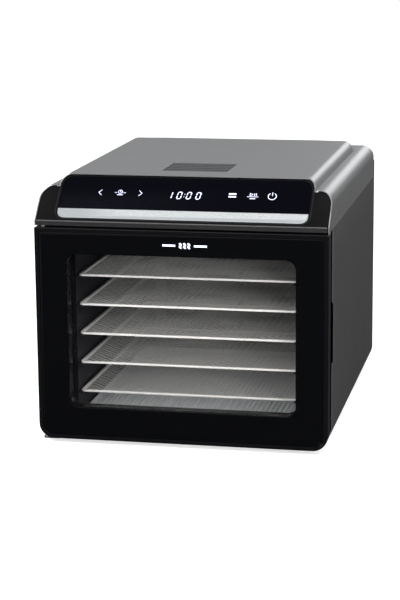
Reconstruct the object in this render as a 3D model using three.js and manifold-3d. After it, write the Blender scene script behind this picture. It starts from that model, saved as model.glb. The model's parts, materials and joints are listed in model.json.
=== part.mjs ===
// Food dehydrator with a glazed swing door, five mesh trays and a rear fan.
// Millimetres. X points right, Y points back and Z points up. The origin lies on the
// table under the middle of the body, and the front of the door is at -BODY_DEPTH / 2.
import * as THREE from 'three';
import { mergeVertices } from 'three/addons/utils/BufferGeometryUtils.js';
import Module from 'manifold-3d';

// ---------------------------------------------------------------- driving dimensions

// Overall
const BODY_WIDTH = 345;
const BODY_DEPTH = 450;
const FOOT_HEIGHT = 6;
const CORNER_RADIUS = 18;
const FIT_GAP = 0.3;

// Door
const DOOR_HEIGHT = 254;
const DOOR_THICKNESS = 20;
const DOOR_TOP_GAP = 1.5;
const DOOR_LIP = 5.5;
const GLASS_THICKNESS = 4;
const INNER_PANE_THICKNESS = 2.5;
const PANE_MARGIN = 6;
const WINDOW_SIDE_MARGIN = 37.5;
const WINDOW_BOTTOM_MARGIN = 39.5;
const WINDOW_TOP_MARGIN = 30.5;
const WINDOW_RADIUS = 12;
const HINGE_INSET = 8;
const HINGE_PIN_RADIUS = 2.5;
const HINGE_BORE_DEPTH = 9;
const PIN_CLEARANCE = 0.3;

// Hinge brackets, above and below the door
const HINGE_PLATE_THICKNESS = 1.6;
const HINGE_PLATE_WIDTH = 20;
const PIN_HEAD_RADIUS = 3.2;
const PIN_HEAD_HEIGHT = 1;

// Front frame and door seal
const MOUTH_CLEARANCE = 0.15;
const MOUTH_RADIUS = 2;
const SEAL_HEIGHT = 3.4;
const SEAL_WIDTH = 10;
const SEAL_MARGIN = 4;
const FRAME_DEPTH = 14;
const FRAME_SIDE_INSET = 6.5;
const FINGER_POCKET_HEIGHT = 72;
const FINGER_POCKET_BOTTOM = 96;
const FINGER_POCKET_WIDTH = 11;
const FINGER_NOTCH_DEPTH = 12;
const LATCH_WIDTH = 10;
const LATCH_HEIGHT = 20;
const LATCH_LEVEL = 205;
const LATCH_DEPTH = 3;
const STRIKE_THICKNESS = 2;

// Hood, over the door and the chamber
const HOOD_HEIGHT = 54.5;
const HOOD_WALL = 1.8;
const SHOULDER_HEIGHT = 42.7;
const SHOULDER_WIDTH = 21.5;
const SHOULDER_RADIUS = 15;
const DOME_RADIUS = 11;
const GROOVE_WIDTH = 2.4;
const GROOVE_DEPTH = 0.9;
const DOME_REAR_MARGIN = 45;
const HOOD_REAR_RADIUS = 5;
const HOOD_REAR_LEAN = 5;
const HOOD_REAR_SETBACK = 3;
const SIDE_SLOT_HEIGHT = 13;
const SIDE_SLOT_WIDTH = 3;
const SIDE_SLOT_GAP = 21;
const SIDE_SLOT_LEVEL = 6;

// Control console on the sloping front of the hood
const FASCIA_SETBACK = 3.4;
const FASCIA_BAND_HEIGHT = 7.2;
const FASCIA_RUN_PER_RISE = 1.05;
const FASCIA_THICKNESS = 3.2;
const FASCIA_BAND_WALL = 2.2;
const CONSOLE_SIDE_MARGIN = 4;
const CONSOLE_TOP_MARGIN = 1.8;
const CONSOLE_RADIUS = 12;
const CONSOLE_RECESS = 1.8;
const CONTROL_GLASS_THICKNESS = 1.5;
const STRIP_LOW = 2.7;
const STRIP_HIGH = 12.1;
const STRIP_RADIUS = 9;
const DISPLAY_WIDTH = 48;
const DISPLAY_HEIGHT = 18;
const BOARD_THICKNESS = 1.6;
const TOUCH_BOARD_INSET = 25;

// Body shell
const PANEL_THICKNESS = 1.2;
const PANEL_FLANGE = 32;
const REAR_FLANGE = 14;
const BASE_LIP = 10;
const REAR_COVER_THICKNESS = 4;
const REAR_COVER_RISE = 21.4;
const SCREW_RADIUS = 1.6;
const SCREW_HEAD_RADIUS = 3.4;
const SCREW_HEAD_HEIGHT = 1.8;
const SCREW_LENGTH = 10;
const SCREW_INSET = 8;
const INTAKE_ROWS = 9;
const INTAKE_SLOT_HEIGHT = 4;
const INTAKE_RIB = 8;

// Feet
const FOOT_RADIUS = 11;
const FOOT_INSET_X = 52;
const FOOT_INSET_Y = 45;

// Drying chamber
const CHAMBER_SIDE_MARGIN = 38.5;
const CHAMBER_FLOOR_LEVEL = 17;
const CHAMBER_TOP_MARGIN = 16;
const LINER_THICKNESS = 1.5;
const LEDGE_WIDTH = 7;
const LEDGE_THICKNESS = 1.5;
const REAR_BAY_DEPTH = 66;
const MOTOR_BAY_DEPTH = 38;
const BAFFLE_ROWS = 11;
const BAFFLE_RIB = 6;
const SIDE_OPENING_ROWS = 6;
const SIDE_OPENING_WIDTH = 16;
const SIDE_OPENING_INSET = 22;

// Trays
const TRAY_COUNT = 5;
const TRAY_PITCH = 35.4;
const FIRST_TRAY_LEVEL = 47.6;
const TRAY_SIDE_CLEARANCE = 2.5;
const TRAY_FRONT_GAP = 2;
const TRAY_REAR_GAP = 8;
const TRAY_RIM_HEIGHT = 2.6;
const TRAY_RIM_WIDTH = 4;
const TRAY_SHEET_LEVEL = 1;
const TRAY_SHEET_THICKNESS = 0.8;
const TRAY_CORNER_RADIUS = 6;
const DRIP_TRAY_WALL = 1.2;
const DRIP_TRAY_HEIGHT = 6;
const DRIP_RIB_PITCH = 6;
const DRIP_RIB_HEIGHT = 1.6;
const DRIP_RIB_FOOT = 4;
const DRIP_RIB_CREST = 1.6;
const DRIP_END_LIP_HEIGHT = 4.8;

// Vent
const VENT_WIDTH = 78;
const VENT_DEPTH = 73;
const VENT_SETBACK = 88;
const VENT_SLOTS = 6;
const VENT_FRAME = 3;
const VENT_BAR = 5;
const VENT_THICKNESS = 3;
const DUCT_WALL = 1;

// Fan, motor and heater
const FAN_RADIUS = 70;
const FAN_HUB_RADIUS = 13;
const FAN_BLADES = 7;
const FAN_DEPTH = 12;
const FAN_BLADE_THICKNESS = 1.6;
const FAN_PITCH = 0.42;
const SHAFT_RADIUS = 3;
const MOTOR_WIDTH = 58;
const MOTOR_HEIGHT = 50;
const MOTOR_LENGTH = 24;
const BRACKET_THICKNESS = 1.5;
const MOTOR_WALL_MARGIN = 20;
const HOLE_CLEARANCE = 3;
const HEATER_CLEARANCE = 14;
const HEATER_TUBE_RADIUS = 3.2;
const HEATER_OPEN_ANGLE = 0.5;
const CLIP_WIDTH = 14;
const CLIP_CLEARANCE = 0.6;
const CUTOUT_RADIUS = 8;
const CUTOUT_INSET = 22;
const SENSOR_RADIUS = 2.5;
const SENSOR_X = 45;
const SENSOR_TOP_MARGIN = 12;

// Mains inlet, lower right of the rear cover
const INLET_WIDTH = 28;
const INLET_HEIGHT = 20;
const INLET_DEPTH = 18;
const INLET_SIDE_MARGIN = 45;
const INLET_LEVEL = 28;
const INLET_WALL = 4;

// Power board and wiring, between the chamber and the hood
const POWER_BOARD_SETBACK = 40;
const POWER_BOARD_LENGTH = 110;
const POWER_BOARD_HALF_WIDTH = 45;
const BOARD_POST_HEIGHT = 6;
const BOARD_POST_RADIUS = 3;
const BOARD_POST_INSET = 6;
const HARNESS_RADIUS = 3;
const HARNESS_CLEARANCE = 5;

// ---------------------------------------------------------------- derived places

const FRONT = -BODY_DEPTH / 2;
const REAR = BODY_DEPTH / 2;
const HALF_WIDTH = BODY_WIDTH / 2;
const BASE = FOOT_HEIGHT;
const DOOR_TOP = BASE + DOOR_HEIGHT;
const SEAM = DOOR_TOP + DOOR_TOP_GAP;
const DOME_HALF_WIDTH = HALF_WIDTH - SHOULDER_WIDTH;
const DOOR_REAR = FRONT + DOOR_THICKNESS;
const FRAME_FRONT = DOOR_REAR + SEAL_HEIGHT + 2 * FIT_GAP;
const BODY_FRONT = FRAME_FRONT + FRAME_DEPTH;
const FRAME_TOP = SEAM + 2;
const REAR_COVER_FRONT = REAR - REAR_COVER_THICKNESS;
const BAFFLE_Y = REAR - REAR_BAY_DEPTH;
const MOTOR_WALL_Y = REAR - MOTOR_BAY_DEPTH;
const CHAMBER_HALF_WIDTH = HALF_WIDTH - CHAMBER_SIDE_MARGIN;
const CHAMBER_FLOOR = BASE + CHAMBER_FLOOR_LEVEL;
const CHAMBER_TOP = DOOR_TOP - CHAMBER_TOP_MARGIN;
const FAN_Z = (CHAMBER_FLOOR + CHAMBER_TOP) / 2;
const HEATER_RADIUS = FAN_RADIUS + HEATER_CLEARANCE;
const HINGE_X = -(HALF_WIDTH - HINGE_INSET);
const HINGE_Y = FRONT + DOOR_THICKNESS / 2;
const SLOPE_LENGTH = Math.hypot(1, FASCIA_RUN_PER_RISE);
const SLOPE_ANGLE = Math.atan2(1, FASCIA_RUN_PER_RISE);
const FASCIA_FRONT = FRONT + FASCIA_SETBACK;
const VENT_Y = FRONT + VENT_SETBACK + VENT_DEPTH / 2;
const HOOD_TOP = SEAM + HOOD_HEIGHT;
const BORE_RADIUS = HINGE_PIN_RADIUS + PIN_CLEARANCE;
const LATCH_X = HALF_WIDTH - FRAME_SIDE_INSET - 3 - LATCH_WIDTH / 2;
const CONSOLE_HALF_WIDTH = DOME_HALF_WIDTH - CONSOLE_SIDE_MARGIN;
const CONSOLE_LOW = STRIP_LOW * SLOPE_LENGTH;
const CONSOLE_SPLIT = STRIP_HIGH * SLOPE_LENGTH;
const FASCIA_HIGH = HOOD_HEIGHT - HOOD_WALL - FIT_GAP - FASCIA_BAND_HEIGHT;
const CONSOLE_HIGH = FASCIA_HIGH * SLOPE_LENGTH - CONSOLE_TOP_MARGIN;
const DISPLAY_MIDDLE = (CONSOLE_SPLIT + CONSOLE_HIGH) / 2 - 4;
const TRAY_HALF_WIDTH = CHAMBER_HALF_WIDTH - TRAY_SIDE_CLEARANCE;
const TRAY_FRONT = BODY_FRONT + TRAY_FRONT_GAP;
const TRAY_REAR = BAFFLE_Y - TRAY_REAR_GAP;
const FAN_FRONT = BAFFLE_Y + LINER_THICKNESS + 7;
const MOTOR_FRONT = MOTOR_WALL_Y + LINER_THICKNESS + BRACKET_THICKNESS + 2 * FIT_GAP;
const HEATER_Y = FAN_FRONT + FAN_DEPTH / 2;
const SENSOR_Z = CHAMBER_TOP - SENSOR_TOP_MARGIN;
const POWER_BOARD_FRONT = VENT_Y + VENT_DEPTH / 2 + POWER_BOARD_SETBACK;
const SCREW_LEVELS = [BASE + 30, BASE + DOOR_HEIGHT / 2, SEAM - 14];

// ---------------------------------------------------------------- materials

const paint = (color, roughness, metalness) => (
  new THREE.MeshStandardMaterial({ color, roughness, metalness }));

const MATERIALS = {
  hoodMetal: paint('#8a8b8e', 0.35, 0.9),
  panelPaint: paint('#434343', 0.5, 0.4),
  blackPlastic: paint('#1b1b1d', 0.55, 0),
  doorGlass: paint('#0b0c10', 0.05, 0),
  clearGlass: paint('#c8d0d4', 0.05, 0),
  controlGlass: paint('#0f0f18', 0.05, 0),
  aluminium: paint('#c6cbce', 0.35, 1),
  steel: paint('#b9bdc0', 0.35, 1),
  darkSteel: paint('#55585b', 0.45, 1),
  rubber: paint('#161616', 0.9, 0),
  ceramic: paint('#ded8cc', 0.7, 0),
  board: paint('#1d5a34', 0.6, 0),
  copper: paint('#b0713f', 0.4, 1),
};

// ---------------------------------------------------------------- solids

const wasm = await Module();
wasm.setup();

/** Turns a closed three.js geometry into a solid that can be joined and cut. */
function solidOf(geometry) {
  const bare = geometry.clone();
  bare.deleteAttribute('normal');
  bare.deleteAttribute('uv');
  const merged = mergeVertices(bare, 1e-4);
  const vertProperties = new Float32Array(merged.attributes.position.array);
  const triVerts = new Uint32Array(merged.index.array);
  return new wasm.Manifold(new wasm.Mesh({ numProp: 3, vertProperties, triVerts }));
}

function geometryOf(manifold) {
  const mesh = manifold.getMesh();
  const geometry = new THREE.BufferGeometry();
  geometry.setAttribute('position', new THREE.BufferAttribute(mesh.vertProperties, 3));
  geometry.setIndex(new THREE.BufferAttribute(mesh.triVerts, 1));
  geometry.computeVertexNormals();
  return geometry;
}

function cut(body, ...tools) {
  const result = tools.reduce((solid, tool) => solid.subtract(solidOf(tool)), solidOf(body));
  return geometryOf(result);
}

function join(body, ...others) {
  const result = others.reduce((solid, other) => solid.add(solidOf(other)), solidOf(body));
  return geometryOf(result);
}

function overlapOf(first, second) {
  return geometryOf(solidOf(first).intersect(solidOf(second)));
}

// ---------------------------------------------------------------- outlines and shapes

/** Rounds one corner [x, y, radius] of an outline between its neighbours. */
function filletPoints(previous, corner, next, steps) {
  const [x, y, radius = 0] = corner;
  const tip = new THREE.Vector2(x, y);
  if (radius <= 0) return [tip];
  const back = new THREE.Vector2(previous[0] - x, previous[1] - y).normalize();
  const ahead = new THREE.Vector2(next[0] - x, next[1] - y).normalize();
  const halfAngle = Math.acos(THREE.MathUtils.clamp(back.dot(ahead), -1, 1)) / 2;
  const reach = radius / Math.tan(halfAngle);
  const middle = back.clone().add(ahead).normalize();
  const centre = tip.clone().addScaledVector(middle, radius / Math.sin(halfAngle));
  const from = tip.clone().addScaledVector(back, reach).sub(centre);
  const to = tip.clone().addScaledVector(ahead, reach).sub(centre);
  const sweep = Math.atan2(from.cross(to), from.dot(to));
  const points = [];
  for (let step = 0; step <= steps; step += 1) {
    const spoke = from.clone().rotateAround(new THREE.Vector2(), (sweep * step) / steps);
    points.push(spoke.add(centre));
  }
  return points;
}

/** Outline through corners of the form [x, y, radius], with round corners as arcs. */
function outlineOf(corners, steps = 6) {
  const count = corners.length;
  return corners.flatMap((corner, index) => {
    const previous = corners[(index + count - 1) % count];
    const next = corners[(index + 1) % count];
    return filletPoints(previous, corner, next, steps);
  });
}

function rectangle(left, right, low, high, radius = 0) {
  return outlineOf([[left, low, radius], [right, low, radius], [right, high, radius], [left, high, radius]]);
}

function circle(x, y, radius, sides = 16) {
  const points = [];
  for (let side = 0; side < sides; side += 1) {
    const angle = (2 * Math.PI * side) / sides;
    points.push(new THREE.Vector2(x + radius * Math.cos(angle), y + radius * Math.sin(angle)));
  }
  return points;
}

/** Extrudes an outline and its holes from one level to another along the Z axis. */
function prism(outline, low, high, holes) {
  const extrude = (edge, from, to) => (
    new THREE.ExtrudeGeometry(new THREE.Shape(edge), { depth: to - from, bevelEnabled: false })
      .translate(0, 0, from));
  const plate = extrude(outline, low, high);
  if (holes.length === 0) return plate;
  return cut(plate, ...holes.map((hole) => extrude(hole, low - 1, high + 1)));
}

/** Extrudes an outline drawn in X and Y between two heights. */
function alongZ(outline, low, high, holes = []) {
  return prism(outline, low, high, holes);
}

/** Extrudes an outline drawn in X and Z from one depth to another. */
function alongY(outline, front, back, holes = []) {
  return prism(outline, -back, -front, holes).rotateX(Math.PI / 2);
}

/** Extrudes an outline drawn in Y and Z from left to right. */
function alongX(outline, left, right, holes = []) {
  const turn = new THREE.Matrix4().makeBasis(
    new THREE.Vector3(0, 1, 0), new THREE.Vector3(0, 0, 1), new THREE.Vector3(1, 0, 0));
  return prism(outline, left, right, holes).applyMatrix4(turn);
}

function block(left, right, front, back, low, high) {
  const geometry = new THREE.BoxGeometry(right - left, back - front, high - low);
  return geometry.translate((left + right) / 2, (front + back) / 2, (low + high) / 2);
}

function postAlongZ(x, y, radius, low, high, sides = 16) {
  return alongZ(circle(x, y, radius, sides), low, high);
}

function rodAlongY(x, z, radius, front, back, sides = 16) {
  return alongY(circle(x, z, radius, sides), front, back);
}

const group = new THREE.Group();

function addMesh(parent, name, geometry, material) {
  const mesh = new THREE.Mesh(geometry, material);
  mesh.name = name;
  parent.add(mesh);
  return mesh;
}

// ---------------------------------------------------------------- hood and console

/** Front view of the hood, set inward by an amount, with or without the groove round its dome. */
function hoodSection(inset, groove) {
  const side = HALF_WIDTH - inset;
  const dome = DOME_HALF_WIDTH - inset;
  const shoulder = SEAM + SHOULDER_HEIGHT - inset;
  const channel = groove ? [
    [dome + GROOVE_WIDTH, shoulder],
    [dome + GROOVE_WIDTH, shoulder - GROOVE_DEPTH],
    [dome, shoulder - GROOVE_DEPTH],
  ] : [[dome, shoulder]];
  const right = [
    [side, SEAM - (groove ? 0 : 1)],
    [side, shoulder, SHOULDER_RADIUS - inset],
    ...channel,
    [dome, HOOD_TOP - inset, DOME_RADIUS - inset],
  ];
  const left = right.map(([x, z, radius = 0]) => [-x, z, radius]).reverse();
  return outlineOf([...right, ...left], 8);
}

function slopeY(height) {
  return FASCIA_FRONT + (height - FASCIA_BAND_HEIGHT) * FASCIA_RUN_PER_RISE;
}

/** Upper part of the hood's side view, from the leaning back to the top of the slope. */
function hoodBackAndTop(inset) {
  const coverTop = SEAM + REAR_COVER_RISE + FIT_GAP;
  const shoulder = SEAM + SHOULDER_HEIGHT - inset;
  const rear = REAR - HOOD_REAR_SETBACK - inset;
  const domeRear = REAR - DOME_REAR_MARGIN - inset;
  return [
    [rear, coverTop],
    [rear - HOOD_REAR_LEAN, shoulder, HOOD_REAR_RADIUS - inset],
    [domeRear, shoulder],
    [domeRear - HOOD_REAR_LEAN, HOOD_TOP - inset, DOME_RADIUS - inset],
  ];
}

function hoodOuterSideView() {
  const sideRear = REAR_COVER_FRONT - FIT_GAP;
  return outlineOf([
    [FASCIA_FRONT, SEAM],
    [sideRear, SEAM],
    [sideRear, SEAM + REAR_COVER_RISE + FIT_GAP],
    ...hoodBackAndTop(0),
    [slopeY(HOOD_HEIGHT), HOOD_TOP],
    [FASCIA_FRONT, SEAM + FASCIA_BAND_HEIGHT],
  ]);
}

/** Side view of the space under the hood, open at the front, below and behind the cover. */
function hoodInnerSideView() {
  const beyond = 10;
  return outlineOf([
    [FASCIA_FRONT - beyond, SEAM - 1],
    [REAR + beyond, SEAM - 1],
    [REAR + beyond, SEAM + REAR_COVER_RISE + FIT_GAP],
    ...hoodBackAndTop(HOOD_WALL),
    [FASCIA_FRONT - beyond, HOOD_TOP - HOOD_WALL],
  ]);
}

function hoodGeometry() {
  const outer = overlapOf(
    alongY(hoodSection(0, true), FRONT, REAR),
    alongX(hoodOuterSideView(), -HALF_WIDTH, HALF_WIDTH));
  const inner = overlapOf(
    alongY(hoodSection(HOOD_WALL, false), FRONT - 20, REAR + 20),
    alongX(hoodInnerSideView(), -HALF_WIDTH, HALF_WIDTH));
  const vent = alongZ(ventOutline(FIT_GAP), SEAM + SHOULDER_HEIGHT, HOOD_TOP + 1);
  const slotY = BODY_FRONT + SIDE_SLOT_GAP;
  const slotZ = SEAM + SIDE_SLOT_LEVEL;
  const slotRadius = SIDE_SLOT_WIDTH / 2 - 0.1;
  const slot = rectangle(slotY, slotY + SIDE_SLOT_WIDTH, slotZ, slotZ + SIDE_SLOT_HEIGHT, slotRadius);
  return cut(outer, inner, vent, alongX(slot, -HALF_WIDTH - 1, HALF_WIDTH + 1));
}

/** Moves a piece drawn flat on the console, X across and Y up the slope, onto the slope. */
function ontoSlope(geometry) {
  return geometry.rotateX(SLOPE_ANGLE).translate(0, FASCIA_FRONT, SEAM + FASCIA_BAND_HEIGHT);
}

function consoleOutline(grow) {
  const half = CONSOLE_HALF_WIDTH + grow;
  return outlineOf([
    [-half, CONSOLE_LOW - grow, STRIP_RADIUS],
    [half, CONSOLE_LOW - grow, STRIP_RADIUS],
    [half, CONSOLE_HIGH + grow, CONSOLE_RADIUS],
    [-half, CONSOLE_HIGH + grow, CONSOLE_RADIUS],
  ]);
}

function displayBlock(grow, low, high) {
  return block(
    -DISPLAY_WIDTH / 2 - grow, DISPLAY_WIDTH / 2 + grow,
    DISPLAY_MIDDLE - DISPLAY_HEIGHT / 2 - grow, DISPLAY_MIDDLE + DISPLAY_HEIGHT / 2 + grow,
    low, high);
}

/** Thin shell behind the band and the slope, with a shelf over the door. */
function fasciaSideView() {
  const back = FASCIA_THICKNESS * SLOPE_LENGTH;
  const shelfTop = FRAME_TOP - SEAM;
  const shelfRear = FRAME_FRONT - FIT_GAP;
  const bandInnerTop = SEAM + FASCIA_BAND_HEIGHT - (back - FASCIA_BAND_WALL) / FASCIA_RUN_PER_RISE;
  return [
    [FASCIA_FRONT, SEAM],
    [shelfRear, SEAM],
    [shelfRear, SEAM + shelfTop],
    [FASCIA_FRONT + FASCIA_BAND_WALL, SEAM + shelfTop],
    [FASCIA_FRONT + FASCIA_BAND_WALL, bandInnerTop],
    [slopeY(HOOD_HEIGHT) + back, HOOD_TOP],
    [slopeY(HOOD_HEIGHT), HOOD_TOP],
    [FASCIA_FRONT, SEAM + FASCIA_BAND_HEIGHT],
  ].map(([y, z]) => new THREE.Vector2(y, z));
}

function fasciaGeometry() {
  const shell = overlapOf(
    alongX(fasciaSideView(), -HALF_WIDTH, HALF_WIDTH),
    alongY(hoodSection(HOOD_WALL + FIT_GAP, false), FRONT, MOTOR_WALL_Y));
  const recess = ontoSlope(alongZ(consoleOutline(FIT_GAP), -CONSOLE_RECESS, 5));
  const window = ontoSlope(displayBlock(FIT_GAP, -FASCIA_THICKNESS - 3, 5));
  const pinHole = postAlongZ(HINGE_X, HINGE_Y, BORE_RADIUS, SEAM - 2, FRAME_TOP + 2);
  return cut(shell, recess, window, pinHole);
}

function controlGlassGeometry() {
  const cover = alongZ(consoleOutline(0), -CONTROL_GLASS_THICKNESS, 0);
  const below = block(-HALF_WIDTH, HALF_WIDTH, -10, CONSOLE_SPLIT + FIT_GAP / 2, -5, 5);
  return ontoSlope(cut(cover, below));
}

function trimStripGeometry() {
  const cover = alongZ(consoleOutline(0), -CONTROL_GLASS_THICKNESS, 0);
  const above = block(-HALF_WIDTH, HALF_WIDTH, CONSOLE_SPLIT - FIT_GAP / 2, CONSOLE_HIGH + 10, -5, 5);
  return ontoSlope(cut(cover, above));
}

function displayGeometry() {
  return ontoSlope(displayBlock(0, -FASCIA_THICKNESS - 5, -CONTROL_GLASS_THICKNESS - FIT_GAP));
}

function touchBoardGeometry() {
  const high = -FASCIA_THICKNESS - FIT_GAP;
  const low = high - BOARD_THICKNESS;
  const half = CONSOLE_HALF_WIDTH - TOUCH_BOARD_INSET;
  const board = alongZ(rectangle(-half, half, CONSOLE_SPLIT + 6, CONSOLE_HIGH - 8, 2), low, high);
  return ontoSlope(cut(board, displayBlock(FIT_GAP, low - 1, high + 1)));
}

function addConsole(parent) {
  addMesh(parent, 'control_fascia', fasciaGeometry(), MATERIALS.blackPlastic);
  addMesh(parent, 'control_glass', controlGlassGeometry(), MATERIALS.controlGlass);
  addMesh(parent, 'trim_strip', trimStripGeometry(), MATERIALS.aluminium);
  addMesh(parent, 'display_module', displayGeometry(), MATERIALS.blackPlastic);
  addMesh(parent, 'touch_board', touchBoardGeometry(), MATERIALS.board);
}

// ---------------------------------------------------------------- vent

function ventOutline(grow) {
  const half = VENT_WIDTH / 2 + grow;
  const reach = VENT_DEPTH / 2 + grow;
  return rectangle(-half, half, VENT_Y - reach, VENT_Y + reach, 1);
}

/** Grille of cross bars, set just below the top of the hood. */
function ventGrilleGeometry() {
  const pitch = (VENT_DEPTH - 2 * VENT_FRAME + VENT_BAR) / VENT_SLOTS;
  const half = VENT_WIDTH / 2 - VENT_FRAME;
  const slots = [];
  for (let slot = 0; slot < VENT_SLOTS; slot += 1) {
    const low = VENT_Y - VENT_DEPTH / 2 + VENT_FRAME + slot * pitch;
    slots.push(rectangle(-half, half, low, low + pitch - VENT_BAR));
  }
  const top = HOOD_TOP - 0.5;
  return alongZ(ventOutline(0), top - VENT_THICKNESS, top, slots);
}

function ductOutline(grow) {
  const half = VENT_WIDTH / 2 - 1 + grow;
  const reach = VENT_DEPTH / 2 - 1 + grow;
  return rectangle(-half, half, VENT_Y - reach, VENT_Y + reach);
}

function exhaustDuctGeometry() {
  const low = CHAMBER_TOP + LINER_THICKNESS + FIT_GAP;
  const high = HOOD_TOP - 0.5 - VENT_THICKNESS - FIT_GAP;
  return alongZ(ductOutline(0), low, high, [ductOutline(-DUCT_WALL)]);
}

// ---------------------------------------------------------------- body shell

/** Right-hand side panel seen from the front: a wall, a round corner and a flange below. */
function sidePanelOutline() {
  const outer = HALF_WIDTH;
  const inner = outer - PANEL_THICKNESS;
  const flangeEnd = HALF_WIDTH - PANEL_FLANGE;
  const top = SEAM - FIT_GAP;
  return outlineOf([
    [flangeEnd, BASE],
    [outer, BASE, CORNER_RADIUS],
    [outer, top],
    [inner, top],
    [inner, BASE + PANEL_THICKNESS, CORNER_RADIUS - PANEL_THICKNESS],
    [flangeEnd, BASE + PANEL_THICKNESS],
  ], 8);
}

function rearScrewPlaces() {
  return SCREW_LEVELS.map((level) => [HALF_WIDTH - SCREW_INSET, level]);
}

/** Side panel with a return flange for the rear screws and, on the right, a finger notch. */
function sidePanelGeometry(fingerNotch) {
  const rear = REAR_COVER_FRONT - FIT_GAP;
  const wall = alongY(sidePanelOutline(), BODY_FRONT + FIT_GAP, rear);
  const flange = block(
    HALF_WIDTH - REAR_FLANGE, HALF_WIDTH - PANEL_THICKNESS / 2, rear - PANEL_THICKNESS, rear,
    BASE + CORNER_RADIUS, SEAM - 2);
  const holes = rearScrewPlaces().map(([x, z]) => (
    rodAlongY(x, z, SCREW_RADIUS + PIN_CLEARANCE, rear - 3, rear + 3, 10)));
  const notch = alongX(
    rectangle(
      BODY_FRONT - FINGER_NOTCH_DEPTH, BODY_FRONT + FINGER_NOTCH_DEPTH,
      BASE + FINGER_POCKET_BOTTOM, BASE + FINGER_POCKET_BOTTOM + FINGER_POCKET_HEIGHT, 5),
    HALF_WIDTH - 5, HALF_WIDTH + 5);
  return cut(join(wall, flange), ...holes, ...(fingerNotch ? [notch] : []));
}

function basePanGeometry() {
  const half = HALF_WIDTH - PANEL_FLANGE - FIT_GAP;
  const outline = outlineOf([
    [-half, BASE], [half, BASE], [half, BASE + BASE_LIP],
    [half - PANEL_THICKNESS, BASE + BASE_LIP], [half - PANEL_THICKNESS, BASE + PANEL_THICKNESS],
    [PANEL_THICKNESS - half, BASE + PANEL_THICKNESS], [PANEL_THICKNESS - half, BASE + BASE_LIP],
    [-half, BASE + BASE_LIP],
  ]);
  return alongY(outline, BODY_FRONT + FIT_GAP, REAR_COVER_FRONT - FIT_GAP);
}

/** Outline of the body or the door from the front, with round lower corners. */
function bodyOutline(sideInset, low, high, radius) {
  const half = HALF_WIDTH - sideInset;
  return outlineOf([
    [-half, low, radius], [half, low, radius], [half, high], [-half, high],
  ], 8);
}

/** Rows of air slots behind the fan, in two columns with a rib between them. */
function intakeSlots() {
  const slots = [];
  const pitch = (2 * FAN_RADIUS) / INTAKE_ROWS;
  for (let row = 0; row < INTAKE_ROWS; row += 1) {
    const level = FAN_Z + (row - (INTAKE_ROWS - 1) / 2) * pitch;
    const low = level - INTAKE_SLOT_HEIGHT / 2;
    slots.push(rectangle(-FAN_RADIUS, -INTAKE_RIB / 2, low, low + INTAKE_SLOT_HEIGHT));
    slots.push(rectangle(INTAKE_RIB / 2, FAN_RADIUS, low, low + INTAKE_SLOT_HEIGHT));
  }
  return slots;
}

function inletOutline(grow) {
  const middle = HALF_WIDTH - INLET_SIDE_MARGIN;
  const low = BASE + INLET_LEVEL;
  return rectangle(
    middle - INLET_WIDTH / 2 - grow, middle + INLET_WIDTH / 2 + grow,
    low - grow, low + INLET_HEIGHT + grow, 3);
}

function rearCoverGeometry() {
  const outline = bodyOutline(0, BASE, SEAM + REAR_COVER_RISE, CORNER_RADIUS);
  const plate = alongY(outline, REAR_COVER_FRONT, REAR, [...intakeSlots(), inletOutline(FIT_GAP)]);
  const places = rearScrewPlaces().flatMap(([x, z]) => [[x, z], [-x, z]]);
  const bores = places.map(([x, z]) => (
    rodAlongY(x, z, SCREW_RADIUS + PIN_CLEARANCE, REAR_COVER_FRONT - 1, REAR + 1, 10)));
  const headSeat = REAR - SCREW_HEAD_HEIGHT - 2 * FIT_GAP;
  const heads = places.map(([x, z]) => (
    rodAlongY(x, z, SCREW_HEAD_RADIUS + PIN_CLEARANCE, headSeat, REAR + 1, 12)));
  return cut(plate, ...bores, ...heads);
}

function screwGeometry() {
  const head = rodAlongY(0, 0, SCREW_HEAD_RADIUS, -SCREW_HEAD_HEIGHT, 0, 12);
  const shank = rodAlongY(0, 0, SCREW_RADIUS, -SCREW_LENGTH, -SCREW_HEAD_HEIGHT / 2, 8);
  const slot = block(-SCREW_HEAD_RADIUS / 1.6, SCREW_HEAD_RADIUS / 1.6, -0.7, 1, -0.45, 0.45);
  const crossSlot = block(-0.45, 0.45, -0.7, 1, -SCREW_HEAD_RADIUS / 1.6, SCREW_HEAD_RADIUS / 1.6);
  return cut(join(head, shank), slot, crossSlot);
}

/** Mains inlet body with two blade contacts recessed in its mouth. */
function mainsInletGeometry() {
  const middle = HALF_WIDTH - INLET_SIDE_MARGIN;
  const low = BASE + INLET_LEVEL;
  const body = alongY(inletOutline(0), REAR - INLET_DEPTH, REAR - 0.2);
  const mouth = alongY(
    rectangle(
      middle - INLET_WIDTH / 2 + INLET_WALL, middle + INLET_WIDTH / 2 - INLET_WALL,
      low + INLET_WALL, low + INLET_HEIGHT - INLET_WALL, 4),
    REAR - INLET_DEPTH + 3, REAR + 1);
  const blades = [-1, 1].map((side) => block(
    middle + side * 4 - 1, middle + side * 4 + 1, REAR - INLET_DEPTH + 2, REAR - 5,
    low + INLET_HEIGHT / 2 - 2.5, low + INLET_HEIGHT / 2 + 2.5));
  return join(cut(body, mouth), ...blades);
}

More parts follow.
